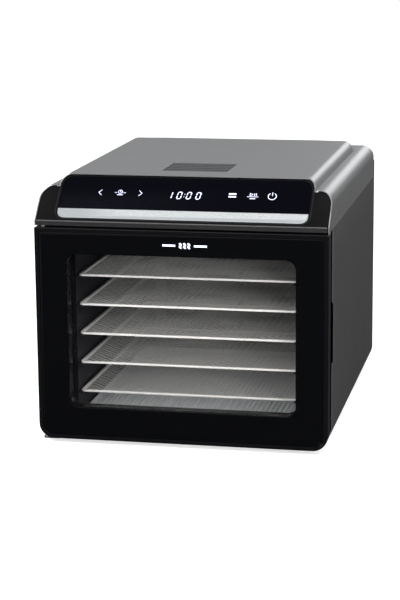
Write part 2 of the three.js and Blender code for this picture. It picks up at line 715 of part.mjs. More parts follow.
function addShell(parent) {
  addMesh(parent, 'hood', hoodGeometry(), MATERIALS.hoodMetal);
  addMesh(parent, 'right_side_panel', sidePanelGeometry(true), MATERIALS.panelPaint);
  addMesh(parent, 'left_side_panel', mirrored(sidePanelGeometry(false)), MATERIALS.panelPaint);
  addMesh(parent, 'base_pan', basePanGeometry(), MATERIALS.darkSteel);
  addMesh(parent, 'rear_cover', rearCoverGeometry(), MATERIALS.blackPlastic);
  addMesh(parent, 'mains_inlet', mainsInletGeometry(), MATERIALS.blackPlastic);
  addMesh(parent, 'vent_grille', ventGrilleGeometry(), MATERIALS.blackPlastic);
  addMesh(parent, 'exhaust_duct', exhaustDuctGeometry(), MATERIALS.steel);
  const screw = screwGeometry();
  for (const [side, sign] of [['right', 1], ['left', -1]]) {
    rearScrewPlaces().forEach(([x, z], index) => {
      const mesh = addMesh(parent, `rear_screw_${side}_${index + 1}`, screw, MATERIALS.darkSteel);
      mesh.position.set(sign * x, REAR - FIT_GAP, z);
    });
  }
}

/** Mirror image across X = 0, with its faces turned to point outward again. */
function mirrored(geometry) {
  const copy = geometryOf(solidOf(geometry)).scale(-1, 1, 1);
  const order = copy.index.array;
  for (let corner = 0; corner < order.length; corner += 3) {
    [order[corner], order[corner + 1]] = [order[corner + 1], order[corner]];
  }
  copy.computeVertexNormals();
  return copy;
}

// ---------------------------------------------------------------- feet

/** Round foot that narrows a little toward the table. */
function footGeometry() {
  const top = FOOT_HEIGHT - FIT_GAP;
  const profile = [[0, 0], [FOOT_RADIUS - 2.5, 0], [FOOT_RADIUS - 1.5, 1], [FOOT_RADIUS, top], [0, top]];
  return new THREE.LatheGeometry(profile.map(([x, y]) => new THREE.Vector2(x, y)), 20).rotateX(Math.PI / 2);
}

function addFeet(parent) {
  const foot = footGeometry();
  for (const [side, sign] of [['left', -1], ['right', 1]]) {
    for (const [end, y] of [['front', BODY_FRONT + FOOT_INSET_Y], ['rear', REAR - FOOT_INSET_Y]]) {
      const mesh = addMesh(parent, `foot_${end}_${side}`, foot, MATERIALS.rubber);
      mesh.position.set(sign * (HALF_WIDTH - FOOT_INSET_X), y, 0);
    }
  }
}

// ---------------------------------------------------------------- front frame, seal and latch

/** Outline that follows the chamber at a distance, with round corners, for the door seal. */
function chamberOutline(grow) {
  const half = CHAMBER_HALF_WIDTH + grow;
  return rectangle(-half, half, CHAMBER_FLOOR - grow, CHAMBER_TOP + grow, 8 + grow);
}

function latchBlock(grow, front, back) {
  const level = BASE + LATCH_LEVEL;
  return block(
    LATCH_X - LATCH_WIDTH / 2 - grow, LATCH_X + LATCH_WIDTH / 2 + grow, front, back,
    level - LATCH_HEIGHT / 2 - grow, level + LATCH_HEIGHT / 2 + grow);
}

/** Opening of the front frame, a little wider than the chamber and nearly square at its corners. */
function mouthOutline() {
  const half = CHAMBER_HALF_WIDTH + MOUTH_CLEARANCE;
  return rectangle(-half, half, CHAMBER_FLOOR - MOUTH_CLEARANCE, CHAMBER_TOP + MOUTH_CLEARANCE, MOUTH_RADIUS);
}

/** Frame around the mouth of the chamber, with a finger pocket in its right edge. */
function frontFrameGeometry() {
  const outline = bodyOutline(FRAME_SIDE_INSET, BASE + 0.5, FRAME_TOP, CORNER_RADIUS - FRAME_SIDE_INSET);
  const ring = alongY(outline, FRAME_FRONT, BODY_FRONT, [mouthOutline()]);
  const side = HALF_WIDTH - FRAME_SIDE_INSET;
  const pocket = alongY(
    rectangle(
      side - FINGER_POCKET_WIDTH, side + 20,
      BASE + FINGER_POCKET_BOTTOM, BASE + FINGER_POCKET_BOTTOM + FINGER_POCKET_HEIGHT, 5),
    FRAME_FRONT - 1, BODY_FRONT + 1);
  return cut(ring, pocket, latchBlock(FIT_GAP, FRAME_FRONT - 5, FRAME_FRONT + LATCH_DEPTH + FIT_GAP));
}

function doorSealGeometry() {
  const outer = chamberOutline(SEAL_MARGIN + SEAL_WIDTH);
  return alongY(outer, DOOR_REAR + FIT_GAP, FRAME_FRONT - FIT_GAP, [chamberOutline(SEAL_MARGIN)]);
}

function addFrontFrame(parent) {
  addMesh(parent, 'front_frame', frontFrameGeometry(), MATERIALS.blackPlastic);
  addMesh(parent, 'door_seal', doorSealGeometry(), MATERIALS.rubber);
  const magnet = latchBlock(0, DOOR_REAR + FIT_GAP, FRAME_FRONT + LATCH_DEPTH);
  addMesh(parent, 'latch_magnet', magnet, MATERIALS.darkSteel);
}

// ---------------------------------------------------------------- door and hinge

function windowOutline(grow) {
  return rectangle(
    -HALF_WIDTH + WINDOW_SIDE_MARGIN - grow, HALF_WIDTH - WINDOW_SIDE_MARGIN + grow,
    BASE + WINDOW_BOTTOM_MARGIN - grow, DOOR_TOP - WINDOW_TOP_MARGIN + grow, WINDOW_RADIUS + grow);
}

function doorOutline(inset) {
  return bodyOutline(inset, BASE + inset, DOOR_TOP - inset, CORNER_RADIUS - inset);
}

function doorFrameGeometry() {
  const ring = alongY(doorOutline(0), FRONT, DOOR_REAR, [windowOutline(0)]);
  const glassSeat = alongY(doorOutline(DOOR_LIP - FIT_GAP), FRONT - 1, FRONT + GLASS_THICKNESS + 2 * FIT_GAP);
  const paneFront = DOOR_REAR - INNER_PANE_THICKNESS - 2 * FIT_GAP;
  const paneSeat = alongY(windowOutline(PANE_MARGIN + FIT_GAP), paneFront, DOOR_REAR + 1);
  const strikeSeat = latchBlock(FIT_GAP, DOOR_REAR - STRIKE_THICKNESS, DOOR_REAR + 1);
  const topBore = postAlongZ(HINGE_X, HINGE_Y, BORE_RADIUS, DOOR_TOP - HINGE_BORE_DEPTH, DOOR_TOP + 1);
  const lowBore = postAlongZ(HINGE_X, HINGE_Y, BORE_RADIUS, BASE - 1, BASE + HINGE_BORE_DEPTH);
  return cut(ring, glassSeat, paneSeat, strikeSeat, topBore, lowBore);
}

function doorGlassGeometry() {
  return alongY(doorOutline(DOOR_LIP), FRONT + FIT_GAP, FRONT + FIT_GAP + GLASS_THICKNESS);
}

function innerPaneGeometry() {
  const back = DOOR_REAR - FIT_GAP;
  return alongY(windowOutline(PANE_MARGIN), back - INNER_PANE_THICKNESS, back);
}

function addDoor(parent) {
  const door = new THREE.Group();
  addMesh(door, 'door_frame', doorFrameGeometry(), MATERIALS.blackPlastic);
  addMesh(door, 'door_glass', doorGlassGeometry(), MATERIALS.doorGlass);
  addMesh(door, 'inner_pane', innerPaneGeometry(), MATERIALS.clearGlass);
  const strikePlate = latchBlock(0, DOOR_REAR - STRIKE_THICKNESS + FIT_GAP, DOOR_REAR - FIT_GAP);
  addMesh(door, 'strike_plate', strikePlate, MATERIALS.steel);
  parent.add(door);
}

/** Flat hinge plate that reaches forward from the frame to the pin. */
function hingePlateGeometry(low, reach) {
  const left = HINGE_X - BORE_RADIUS - 2;
  const front = HINGE_Y - BORE_RADIUS - 1.4;
  const outline = rectangle(left, left + HINGE_PLATE_WIDTH, front, reach, 3);
  const hole = circle(HINGE_X, HINGE_Y, BORE_RADIUS);
  return alongZ(outline, low, low + HINGE_PLATE_THICKNESS, [hole]);
}

function addHinge(parent) {
  const topPlate = FRAME_TOP + FIT_GAP;
  const headLow = topPlate + HINGE_PLATE_THICKNESS + FIT_GAP;
  const topPin = join(
    postAlongZ(HINGE_X, HINGE_Y, HINGE_PIN_RADIUS, DOOR_TOP - HINGE_BORE_DEPTH + 1, headLow + 0.5),
    postAlongZ(HINGE_X, HINGE_Y, PIN_HEAD_RADIUS, headLow, headLow + PIN_HEAD_HEIGHT));
  const lowPlate = BASE - FIT_GAP - HINGE_PLATE_THICKNESS;
  const headHigh = lowPlate - FIT_GAP;
  const lowPin = join(
    postAlongZ(HINGE_X, HINGE_Y, HINGE_PIN_RADIUS, headHigh - 0.5, BASE + HINGE_BORE_DEPTH - 1),
    postAlongZ(HINGE_X, HINGE_Y, PIN_HEAD_RADIUS, headHigh - PIN_HEAD_HEIGHT, headHigh));
  addMesh(parent, 'top_hinge_plate', hingePlateGeometry(topPlate, BODY_FRONT), MATERIALS.darkSteel);
  addMesh(parent, 'top_hinge_pin', topPin, MATERIALS.steel);
  addMesh(parent, 'bottom_hinge_plate', hingePlateGeometry(lowPlate, BODY_FRONT + 10), MATERIALS.darkSteel);
  addMesh(parent, 'bottom_hinge_pin', lowPin, MATERIALS.steel);
}

// ---------------------------------------------------------------- drying chamber

function trayLevel(index) {
  return BASE + FIRST_TRAY_LEVEL + index * TRAY_PITCH;
}

/** Right-hand liner wall with one ledge under each tray. */
function linerOutline() {
  const face = CHAMBER_HALF_WIDTH;
  const back = face + LINER_THICKNESS;
  const corners = [[back, CHAMBER_FLOOR], [back, CHAMBER_TOP], [face, CHAMBER_TOP]];
  for (let index = TRAY_COUNT - 1; index >= 0; index -= 1) {
    const ledgeTop = trayLevel(index) - FIT_GAP;
    corners.push(
      [face, ledgeTop], [face - LEDGE_WIDTH, ledgeTop],
      [face - LEDGE_WIDTH, ledgeTop - LEDGE_THICKNESS], [face, ledgeTop - LEDGE_THICKNESS]);
  }
  corners.push([face, CHAMBER_FLOOR]);
  return outlineOf(corners);
}

function linerGeometry() {
  return alongY(linerOutline(), BODY_FRONT + FIT_GAP, BAFFLE_Y - FIT_GAP);
}

function chamberPlateOutline() {
  const half = CHAMBER_HALF_WIDTH + LINER_THICKNESS;
  return rectangle(-half, half, BODY_FRONT + FIT_GAP, MOTOR_WALL_Y - FIT_GAP);
}

function chamberCeilingGeometry() {
  const low = CHAMBER_TOP + FIT_GAP;
  return alongZ(chamberPlateOutline(), low, low + LINER_THICKNESS - FIT_GAP, [ductOutline(-DUCT_WALL)]);
}

function chamberFloorGeometry() {
  const high = CHAMBER_FLOOR - FIT_GAP;
  return alongZ(chamberPlateOutline(), high - LINER_THICKNESS, high);
}

/** Louvre openings in rows whose lengths follow a circle round the fan. */
function baffleOpenings() {
  const reach = FAN_RADIUS + 6;
  const pitch = (2 * reach) / BAFFLE_ROWS;
  const openings = [];
  for (let row = 0; row < BAFFLE_ROWS; row += 1) {
    const offset = (row - (BAFFLE_ROWS - 1) / 2) * pitch;
    const half = Math.sqrt(reach * reach - offset * offset);
    const level = FAN_Z + offset;
    openings.push(rectangle(-half, -BAFFLE_RIB / 2, level - pitch / 4, level + pitch / 4));
    openings.push(rectangle(BAFFLE_RIB / 2, half, level - pitch / 4, level + pitch / 4));
  }
  return openings;
}

/** Return-air openings down both sides of the baffle. */
function sideOpenings() {
  const openings = [];
  const margin = 12;
  const pitch = (CHAMBER_TOP - CHAMBER_FLOOR - 2 * margin) / SIDE_OPENING_ROWS;
  const half = SIDE_OPENING_WIDTH / 2;
  for (let row = 0; row < SIDE_OPENING_ROWS; row += 1) {
    const level = CHAMBER_FLOOR + margin + row * pitch;
    for (const sign of [-1, 1]) {
      const middle = sign * (CHAMBER_HALF_WIDTH - SIDE_OPENING_INSET);
      openings.push(rectangle(middle - half, middle + half, level, level + pitch - margin));
    }
  }
  return openings;
}

function rearBaffleGeometry() {
  const half = CHAMBER_HALF_WIDTH + LINER_THICKNESS;
  const outline = rectangle(-half, half, CHAMBER_FLOOR, CHAMBER_TOP);
  const sensorHole = circle(SENSOR_X, SENSOR_Z, SENSOR_RADIUS + PIN_CLEARANCE, 12);
  const openings = [...baffleOpenings(), ...sideOpenings(), sensorHole];
  return alongY(outline, BAFFLE_Y, BAFFLE_Y + LINER_THICKNESS, openings);
}

function addChamber(parent) {
  const liner = linerGeometry();
  addMesh(parent, 'right_liner', liner, MATERIALS.steel);
  addMesh(parent, 'left_liner', mirrored(liner), MATERIALS.steel);
  addMesh(parent, 'chamber_ceiling', chamberCeilingGeometry(), MATERIALS.steel);
  addMesh(parent, 'chamber_floor', chamberFloorGeometry(), MATERIALS.steel);
  addMesh(parent, 'rear_baffle', rearBaffleGeometry(), MATERIALS.steel);
}

// ---------------------------------------------------------------- trays

/** Tray: a raised rim with a thin mesh sheet across it. */
function trayGeometry() {
  const edge = (inset, radius) => rectangle(
    inset - TRAY_HALF_WIDTH, TRAY_HALF_WIDTH - inset, TRAY_FRONT + inset, TRAY_REAR - inset, radius);
  const rim = alongZ(edge(0, TRAY_CORNER_RADIUS), 0, TRAY_RIM_HEIGHT, [edge(TRAY_RIM_WIDTH, 2)]);
  const sheetTop = TRAY_SHEET_LEVEL + TRAY_SHEET_THICKNESS;
  const sheet = alongZ(edge(TRAY_RIM_WIDTH / 2, 3), TRAY_SHEET_LEVEL, sheetTop);
  return join(rim, sheet);
}

/** Front view of the drip tray: low side walls and a ribbed floor between them. */
function dripTrayOutline() {
  const half = TRAY_HALF_WIDTH;
  const inside = half - DRIP_TRAY_WALL;
  const floor = DRIP_TRAY_WALL;
  const ribTop = floor + DRIP_RIB_HEIGHT;
  const ribCount = Math.floor((2 * inside) / DRIP_RIB_PITCH) - 1;
  const ribs = [];
  for (let rib = 0; rib < ribCount; rib += 1) {
    const middle = ((ribCount - 1) / 2 - rib) * DRIP_RIB_PITCH;
    ribs.push(
      [middle + DRIP_RIB_FOOT / 2, floor], [middle + DRIP_RIB_CREST / 2, ribTop],
      [middle - DRIP_RIB_CREST / 2, ribTop], [middle - DRIP_RIB_FOOT / 2, floor]);
  }
  return outlineOf([
    [-half, 0], [half, 0], [half, DRIP_TRAY_HEIGHT], [inside, DRIP_TRAY_HEIGHT], [inside, floor],
    ...ribs,
    [-inside, floor], [-inside, DRIP_TRAY_HEIGHT], [-half, DRIP_TRAY_HEIGHT],
  ]);
}

function dripTrayGeometry() {
  const trough = alongY(dripTrayOutline(), TRAY_FRONT, TRAY_REAR);
  const endLip = (front) => block(
    -TRAY_HALF_WIDTH, TRAY_HALF_WIDTH, front, front + DRIP_TRAY_WALL, 0, DRIP_END_LIP_HEIGHT);
  return join(trough, endLip(TRAY_FRONT), endLip(TRAY_REAR - DRIP_TRAY_WALL));
}

function addTrays(parent) {
  const tray = trayGeometry();
  for (let index = 0; index < TRAY_COUNT; index += 1) {
    const mesh = addMesh(parent, `tray_${index + 1}`, tray, MATERIALS.steel);
    mesh.position.set(0, 0, trayLevel(index));
  }
  const dripTray = addMesh(parent, 'drip_tray', dripTrayGeometry(), MATERIALS.aluminium);
  dripTray.position.set(0, 0, CHAMBER_FLOOR);
}

// ---------------------------------------------------------------- fan, motor and heater

/** One pitched blade: a flat paddle turned about its own length, then round the hub. */
function fanBladeSolid(angle) {
  const length = FAN_RADIUS - FAN_HUB_RADIUS + 4;
  const paddle = outlineOf([
    [-7, -length / 2], [7, -length / 2], [16, length / 2, 9], [-13, length / 2, 7]]);
  return alongY(paddle, -FAN_BLADE_THICKNESS / 2, FAN_BLADE_THICKNESS / 2)
    .rotateZ(FAN_PITCH)
    .translate(0, 0, FAN_HUB_RADIUS - 4 + length / 2)
    .rotateY(angle);
}

function fanGeometry() {
  const hub = rodAlongY(0, 0, FAN_HUB_RADIUS, -FAN_DEPTH / 2, FAN_DEPTH / 2, 24);
  const blades = [];
  for (let blade = 0; blade < FAN_BLADES; blade += 1) {
    blades.push(fanBladeSolid((2 * Math.PI * blade) / FAN_BLADES));
  }
  const rim = rodAlongY(0, 0, FAN_RADIUS, -20, 20, 48);
  const bore = rodAlongY(0, 0, SHAFT_RADIUS + FIT_GAP, -20, 20);
  return cut(overlapOf(join(hub, ...blades), rim), bore);
}

function addFan(parent) {
  const rotor = new THREE.Group();
  rotor.position.set(0, FAN_FRONT + FAN_DEPTH / 2, FAN_Z);
  addMesh(rotor, 'fan_blade', fanGeometry(), MATERIALS.aluminium);
  const front = -FAN_DEPTH / 2 - 3;
  const back = MOTOR_FRONT + MOTOR_LENGTH - 2 - rotor.position.y;
  addMesh(rotor, 'fan_shaft', rodAlongY(0, 0, SHAFT_RADIUS, front, back), MATERIALS.steel);
  parent.add(rotor);
}

/** Laminated motor stack with a coil bobbin below and a bearing bridge on each face. */
function fanMotorGeometry() {
  const half = MOTOR_WIDTH / 2;
  const stackFront = MOTOR_FRONT + 4;
  const stackBack = MOTOR_FRONT + MOTOR_LENGTH - 6;
  const stack = block(
    -half, half, stackFront, stackBack, FAN_Z - MOTOR_HEIGHT / 2, FAN_Z + MOTOR_HEIGHT / 2);
  const coil = block(-14, 14, MOTOR_FRONT + 1, MOTOR_FRONT + MOTOR_LENGTH - 3,
    FAN_Z - MOTOR_HEIGHT / 2 - 14, FAN_Z - MOTOR_HEIGHT / 2 + 1);
  const frontBridge = block(-half + 6, half - 6, MOTOR_FRONT, stackFront + 1, FAN_Z - 9, FAN_Z + 9);
  const rearBridge = block(
    -half + 6, half - 6, stackBack - 1, MOTOR_FRONT + MOTOR_LENGTH - 2, FAN_Z - 9, FAN_Z + 9);
  const bore = rodAlongY(0, FAN_Z, SHAFT_RADIUS + FIT_GAP, MOTOR_FRONT - 1, MOTOR_FRONT + MOTOR_LENGTH);
  return cut(join(stack, coil, frontBridge, rearBridge), bore);
}

/** Wall that closes the fan bay, with openings for the shaft, the heater legs and cooling. */
function motorWallGeometry() {
  const half = CHAMBER_HALF_WIDTH + MOTOR_WALL_MARGIN;
  const outline = rectangle(-half, half, CHAMBER_FLOOR - 6, CHAMBER_TOP + 8, 4);
  const shaft = circle(0, FAN_Z, SHAFT_RADIUS + HOLE_CLEARANCE);
  const legs = heaterLegs().map(([x, z]) => circle(x, z, HEATER_TUBE_RADIUS + HOLE_CLEARANCE, 12));
  const vents = [-1, 1].map((side) => rectangle(
    side * CHAMBER_HALF_WIDTH - 8, side * CHAMBER_HALF_WIDTH + 8, FAN_Z - 20, FAN_Z + 20));
  return alongY(outline, MOTOR_WALL_Y, MOTOR_WALL_Y + LINER_THICKNESS, [shaft, ...legs, ...vents]);
}

function motorBracketGeometry() {
  const front = MOTOR_WALL_Y + LINER_THICKNESS + FIT_GAP;
  const outline = rectangle(-MOTOR_WIDTH / 2 - 14, MOTOR_WIDTH / 2 + 14, FAN_Z - 12, FAN_Z + 12, 5);
  return alongY(outline, front, front + BRACKET_THICKNESS, [circle(0, FAN_Z, SHAFT_RADIUS + HOLE_CLEARANCE)]);
}

function heaterLegs() {
  const angles = [-Math.PI / 2 - HEATER_OPEN_ANGLE, -Math.PI / 2 + HEATER_OPEN_ANGLE];
  return angles.map((angle) => [HEATER_RADIUS * Math.cos(angle), FAN_Z + HEATER_RADIUS * Math.sin(angle)]);
}

/** Open ring round the fan, with both ends turned back through the motor wall. */
function heaterPath() {
  const points = [];
  const steps = 28;
  const start = -Math.PI / 2 + HEATER_OPEN_ANGLE;
  const sweep = 2 * Math.PI - 2 * HEATER_OPEN_ANGLE;
  for (let step = 0; step <= steps; step += 1) {
    const angle = start + (sweep * step) / steps;
    points.push(new THREE.Vector3(
      HEATER_RADIUS * Math.cos(angle), HEATER_Y, FAN_Z + HEATER_RADIUS * Math.sin(angle)));
  }
  const [first, last] = [points[0], points[points.length - 1]];
  const back = (point, y) => new THREE.Vector3(point.x, y, point.z);
  const legEnd = MOTOR_WALL_Y + LINER_THICKNESS + 10;
  const bend = HEATER_Y + 8;
  return new THREE.CatmullRomCurve3([
    back(first, legEnd), back(first, bend), ...points.slice(1, -1), back(last, bend), back(last, legEnd),
  ], false, 'centripetal');
}

function heaterCoilGeometry() {
  const section = new THREE.Shape(circle(0, 0, HEATER_TUBE_RADIUS, 8));
  return new THREE.ExtrudeGeometry(section, { steps: 44, extrudePath: heaterPath(), bevelEnabled: false });
}

/** Ceramic block that carries the heater tube off the motor wall. */
function heaterClipGeometry(side) {
  const x = side * HEATER_RADIUS;
  const front = HEATER_Y - 1;
  const tube = HEATER_TUBE_RADIUS + CLIP_CLEARANCE;
  const body = block(
    x - CLIP_WIDTH / 2, x + CLIP_WIDTH / 2, front, MOTOR_WALL_Y - FIT_GAP,
    FAN_Z - CLIP_WIDTH / 2, FAN_Z + CLIP_WIDTH / 2);
  const groove = new THREE.TorusGeometry(HEATER_RADIUS, tube, 12, 64)
    .rotateX(Math.PI / 2).translate(0, HEATER_Y, FAN_Z);
  const mouth = block(x - tube, x + tube, front - 1, HEATER_Y, FAN_Z - CLIP_WIDTH, FAN_Z + CLIP_WIDTH);
  return cut(body, groove, mouth);
}

/** Disc thermostat that cuts the heater off, standing on the motor wall. */
function thermalCutoutGeometry() {
  const x = -CHAMBER_HALF_WIDTH + CUTOUT_INSET;
  const z = CHAMBER_TOP - CUTOUT_INSET;
  const back = MOTOR_WALL_Y - FIT_GAP;
  return join(
    block(x - 12, x + 12, back - 1.5, back, z - 6, z + 6),
    rodAlongY(x, z, CUTOUT_RADIUS, back - 7, back - 1, 20));
}

/** Probe that reaches through the baffle into the chamber. */
function temperatureSensorGeometry() {
  const collarFront = BAFFLE_Y + LINER_THICKNESS + FIT_GAP;
  return join(
    rodAlongY(SENSOR_X, SENSOR_Z, SENSOR_RADIUS, BAFFLE_Y - 6, BAFFLE_Y + 14, 12),
    rodAlongY(SENSOR_X, SENSOR_Z, SENSOR_RADIUS + 2, collarFront, BAFFLE_Y + 5, 12));
}

function addFanBay(parent) {
  addFan(parent);
  addMesh(parent, 'motor_wall', motorWallGeometry(), MATERIALS.steel);
  addMesh(parent, 'motor_bracket', motorBracketGeometry(), MATERIALS.darkSteel);
  addMesh(parent, 'fan_motor', fanMotorGeometry(), MATERIALS.darkSteel);
  addMesh(parent, 'heater_coil', heaterCoilGeometry(), MATERIALS.darkSteel);
  addMesh(parent, 'heater_clip_left', heaterClipGeometry(-1), MATERIALS.ceramic);
  addMesh(parent, 'heater_clip_right', heaterClipGeometry(1), MATERIALS.ceramic);
  addMesh(parent, 'thermal_cutout', thermalCutoutGeometry(), MATERIALS.darkSteel);
  addMesh(parent, 'temperature_sensor', temperatureSensorGeometry(), MATERIALS.steel);
}

// ---------------------------------------------------------------- power board and wiring

/** Circuit board on four posts, with its transformer, relay and capacitors. */
function powerBoardGeometry() {
  const postLow = CHAMBER_TOP + LINER_THICKNESS + FIT_GAP;
  const low = postLow + BOARD_POST_HEIGHT;
  const high = low + BOARD_THICKNESS;
  const back = POWER_BOARD_FRONT + POWER_BOARD_LENGTH;
  const half = POWER_BOARD_HALF_WIDTH;
  const board = block(-half, half, POWER_BOARD_FRONT, back, low, high);
  const ends = [POWER_BOARD_FRONT + BOARD_POST_INSET, back - BOARD_POST_INSET];
  const posts = ends.flatMap((y) => [-1, 1].map((side) => (
    postAlongZ(side * (half - BOARD_POST_INSET), y, BOARD_POST_RADIUS, postLow, low + 0.5, 8))));
  const transformer = block(-half + 10, -half + 42, back - 42, back - 12, high - 0.5, high + 22);
  const relay = block(10, 28, back - 36, back - 16, high - 0.5, high + 15);
  const capacitors = [15, 30].map((along) => (
    postAlongZ(half - 16, POWER_BOARD_FRONT + along, 5, high - 0.5, high + 16, 12)));
  return join(board, ...posts, transformer, relay, ...capacitors);
}

/** Wire bundle from the mains inlet up the rear of the body to the power board. */
function wiringHarnessGeometry() {
  const x = HALF_WIDTH - INLET_SIDE_MARGIN;
  const z = BASE + INLET_LEVEL + INLET_HEIGHT / 2;
  const start = REAR - INLET_DEPTH - 1;
  const riser = MOTOR_WALL_Y + LINER_THICKNESS + 5;
  const boardTop = CHAMBER_TOP + LINER_THICKNESS + BOARD_POST_HEIGHT + BOARD_THICKNESS + 8;
  const path = new THREE.CatmullRomCurve3([
    new THREE.Vector3(x, start, z),
    new THREE.Vector3(x, start - 3, z),
    new THREE.Vector3(x + 2, riser, z + 16),
    new THREE.Vector3(x + 2, riser, FAN_Z),
    new THREE.Vector3(x + 2, riser, CHAMBER_TOP),
    new THREE.Vector3(x - 8, MOTOR_WALL_Y, CHAMBER_TOP + 20),
    new THREE.Vector3(x - 30, MOTOR_WALL_Y - 24, boardTop + 2),
    new THREE.Vector3(
      POWER_BOARD_HALF_WIDTH + HARNESS_CLEARANCE, POWER_BOARD_FRONT + POWER_BOARD_LENGTH - 26, boardTop - 6),
  ], false, 'centripetal');
  const section = new THREE.Shape(circle(0, 0, HARNESS_RADIUS, 6));
  return new THREE.ExtrudeGeometry(section, { steps: 32, extrudePath: path, bevelEnabled: false });
}

function addElectrics(parent) {
  addMesh(parent, 'power_board', powerBoardGeometry(), MATERIALS.board);
  addMesh(parent, 'wiring_harness', wiringHarnessGeometry(), MATERIALS.copper);
}

// ---------------------------------------------------------------- assembly

addShell(group);
addConsole(group);
addFeet(group);
addFrontFrame(group);
addDoor(group);
addHinge(group);
addChamber(group);
addTrays(group);
addFanBay(group);
addElectrics(group);

export default group;
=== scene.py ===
"""Finished looks for a bench-top food dehydrator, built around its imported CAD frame.

Lengths in the classes of the pieces are millimetres in the frame's axes: X to the right, Y
to the back and Z up. A shell turns them into metres when its mesh is made. The studio's
places and lengths are metres.
"""
from __future__ import annotations

import json
import logging
import math
from dataclasses import dataclass, field
from enum import Enum
from typing import Callable, Sequence

import bmesh
import bpy
import numpy as np
from mathutils import Matrix, Vector

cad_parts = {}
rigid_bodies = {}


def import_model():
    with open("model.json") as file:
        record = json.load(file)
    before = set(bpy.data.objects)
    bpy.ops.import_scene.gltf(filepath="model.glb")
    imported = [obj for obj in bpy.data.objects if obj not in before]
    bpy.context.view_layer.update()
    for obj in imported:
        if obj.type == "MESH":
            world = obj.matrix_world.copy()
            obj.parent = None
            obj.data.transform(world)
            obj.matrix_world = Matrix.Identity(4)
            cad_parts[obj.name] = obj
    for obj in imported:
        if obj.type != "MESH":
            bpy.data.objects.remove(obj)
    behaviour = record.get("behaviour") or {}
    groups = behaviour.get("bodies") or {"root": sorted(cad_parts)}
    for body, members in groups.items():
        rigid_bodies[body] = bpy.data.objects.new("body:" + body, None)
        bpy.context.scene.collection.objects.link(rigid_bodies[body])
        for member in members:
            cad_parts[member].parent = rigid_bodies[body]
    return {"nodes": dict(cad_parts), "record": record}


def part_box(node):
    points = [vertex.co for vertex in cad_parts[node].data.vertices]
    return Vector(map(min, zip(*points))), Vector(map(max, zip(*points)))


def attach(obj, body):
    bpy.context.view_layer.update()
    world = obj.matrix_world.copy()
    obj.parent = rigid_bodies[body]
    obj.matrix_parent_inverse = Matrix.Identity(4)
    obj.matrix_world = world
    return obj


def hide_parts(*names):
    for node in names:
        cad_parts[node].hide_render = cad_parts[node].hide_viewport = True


Array = np.ndarray
Place = Callable[[Array], Array]
Colour = tuple[float, float, float]

MM = 0.001
SMALLEST_RADIUS = 0.05
EDGE_FLAT = 0.12
SAME_POINT = 2e-6
EMPTY_EDGE = 1e-7
LOG = logging.getLogger("dehydrator")

for leftover in list(bpy.data.objects):
    bpy.data.objects.remove(leftover)
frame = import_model()


# ------------------------------------------------------------------ places from the frame

@dataclass(frozen=True)
class Extent:
    """Box of one CAD node in millimetres."""

    x0: float
    x1: float
    y0: float
    y1: float
    z0: float
    z1: float

    @classmethod
    def of(cls, node: str) -> Extent:
        """Box of a node.

        Args:
            node: name of the CAD node.

        Returns:
            Its lowest and highest coordinates at rest.
        """
        low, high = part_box(node)
        (x0, y0, z0), (x1, y1, z1) = (v / MM for v in low), (v / MM for v in high)
        return cls(x0, x1, y0, y1, z0, z1)

    @property
    def middle(self) -> Array:
        """Middle of the box seen from above, (x, y)."""
        return np.array([self.x0 + self.x1, self.y0 + self.y1]) / 2

    @property
    def reach(self) -> Array:
        """Half the box's width and half its depth."""
        return np.array([self.x1 - self.x0, self.y1 - self.y0]) / 2

    def plan(self, inset: float, level: float, radius: float, steps: int) -> Array:
        """Outline seen from above, set inward, with round corners, at one height."""
        return plan_view(rounded(
            self.x0 + inset, self.x1 - inset, self.y0 + inset, self.y1 - inset, radius, radius, steps), level)


# ------------------------------------------------------------------ curves and outlines

def arc(centre: Sequence[float], radius: float, start: float, stop: float, steps: int) -> Array:
    """Points on a circle: centre + radius (cos t, sin t), with t in equal steps, in degrees.

    Args:
        centre: the two coordinates of the circle's centre.
        radius: its radius.
        start: first angle in degrees.
        stop: last angle in degrees.
        steps: number of spans between them.

    Returns:
        An array of steps + 1 points.
    """
    angle = np.radians(np.linspace(start, stop, steps + 1))
    return np.asarray(centre) + radius * np.stack([np.cos(angle), np.sin(angle)], axis=1)


def rounded(x0: float, x1: float, z0: float, z1: float, low: float, high: float, steps: int = 10) -> Array:
    """Rectangle with quarter circles for corners, counter-clockwise from the lower right corner.

    Args:
        x0: left side.
        x1: right side.
        z0: lower side.
        z1: upper side.
        low: radius of the two lower corners.
        high: radius of the two upper corners.
        steps: spans in each corner.

    Returns:
        An array of 4 (steps + 1) points.
    """
    low, high = max(low, SMALLEST_RADIUS), max(high, SMALLEST_RADIUS)
    return np.concatenate([
        arc((x1 - low, z0 + low), low, -90, 0, steps),
        arc((x1 - high, z1 - high), high, 0, 90, steps),
        arc((x0 + high, z1 - high), high, 90, 180, steps),
        arc((x0 + low, z0 + low), low, 180, 270, steps),
    ])


def front_view(points: Array, y: float | Array) -> Array:
    """Points (x, z) stood up in space at the depth y."""
    return np.stack([points[..., 0], np.broadcast_to(y, points.shape[:-1]), points[..., 1]], axis=-1)


def plan_view(points: Array, z: float | Array) -> Array:
    """Points (x, y) laid down in space at the height z."""
    return np.stack([points[..., 0], points[..., 1], np.broadcast_to(z, points.shape[:-1])], axis=-1)


def edge_round(radius: float, steps: int = 4) -> Array:
    """Rounded edge as pairs (inset, drop), with a narrow flat at both ends.

    The pairs are radius (1 - sin t, 1 - cos t) for t from 90 to 0 degrees.

    Args:
        radius: radius of the edge.
        steps: spans in the quarter circle.

    Returns:
        An array of steps + 3 pairs.
    """
    t = np.radians(np.linspace(90, 0, steps + 1))
    curve = radius * np.stack([1 - np.sin(t), 1 - np.cos(t)], axis=1)
    return np.concatenate([[[0, radius + EDGE_FLAT]], curve, [[radius + EDGE_FLAT, 0]]])


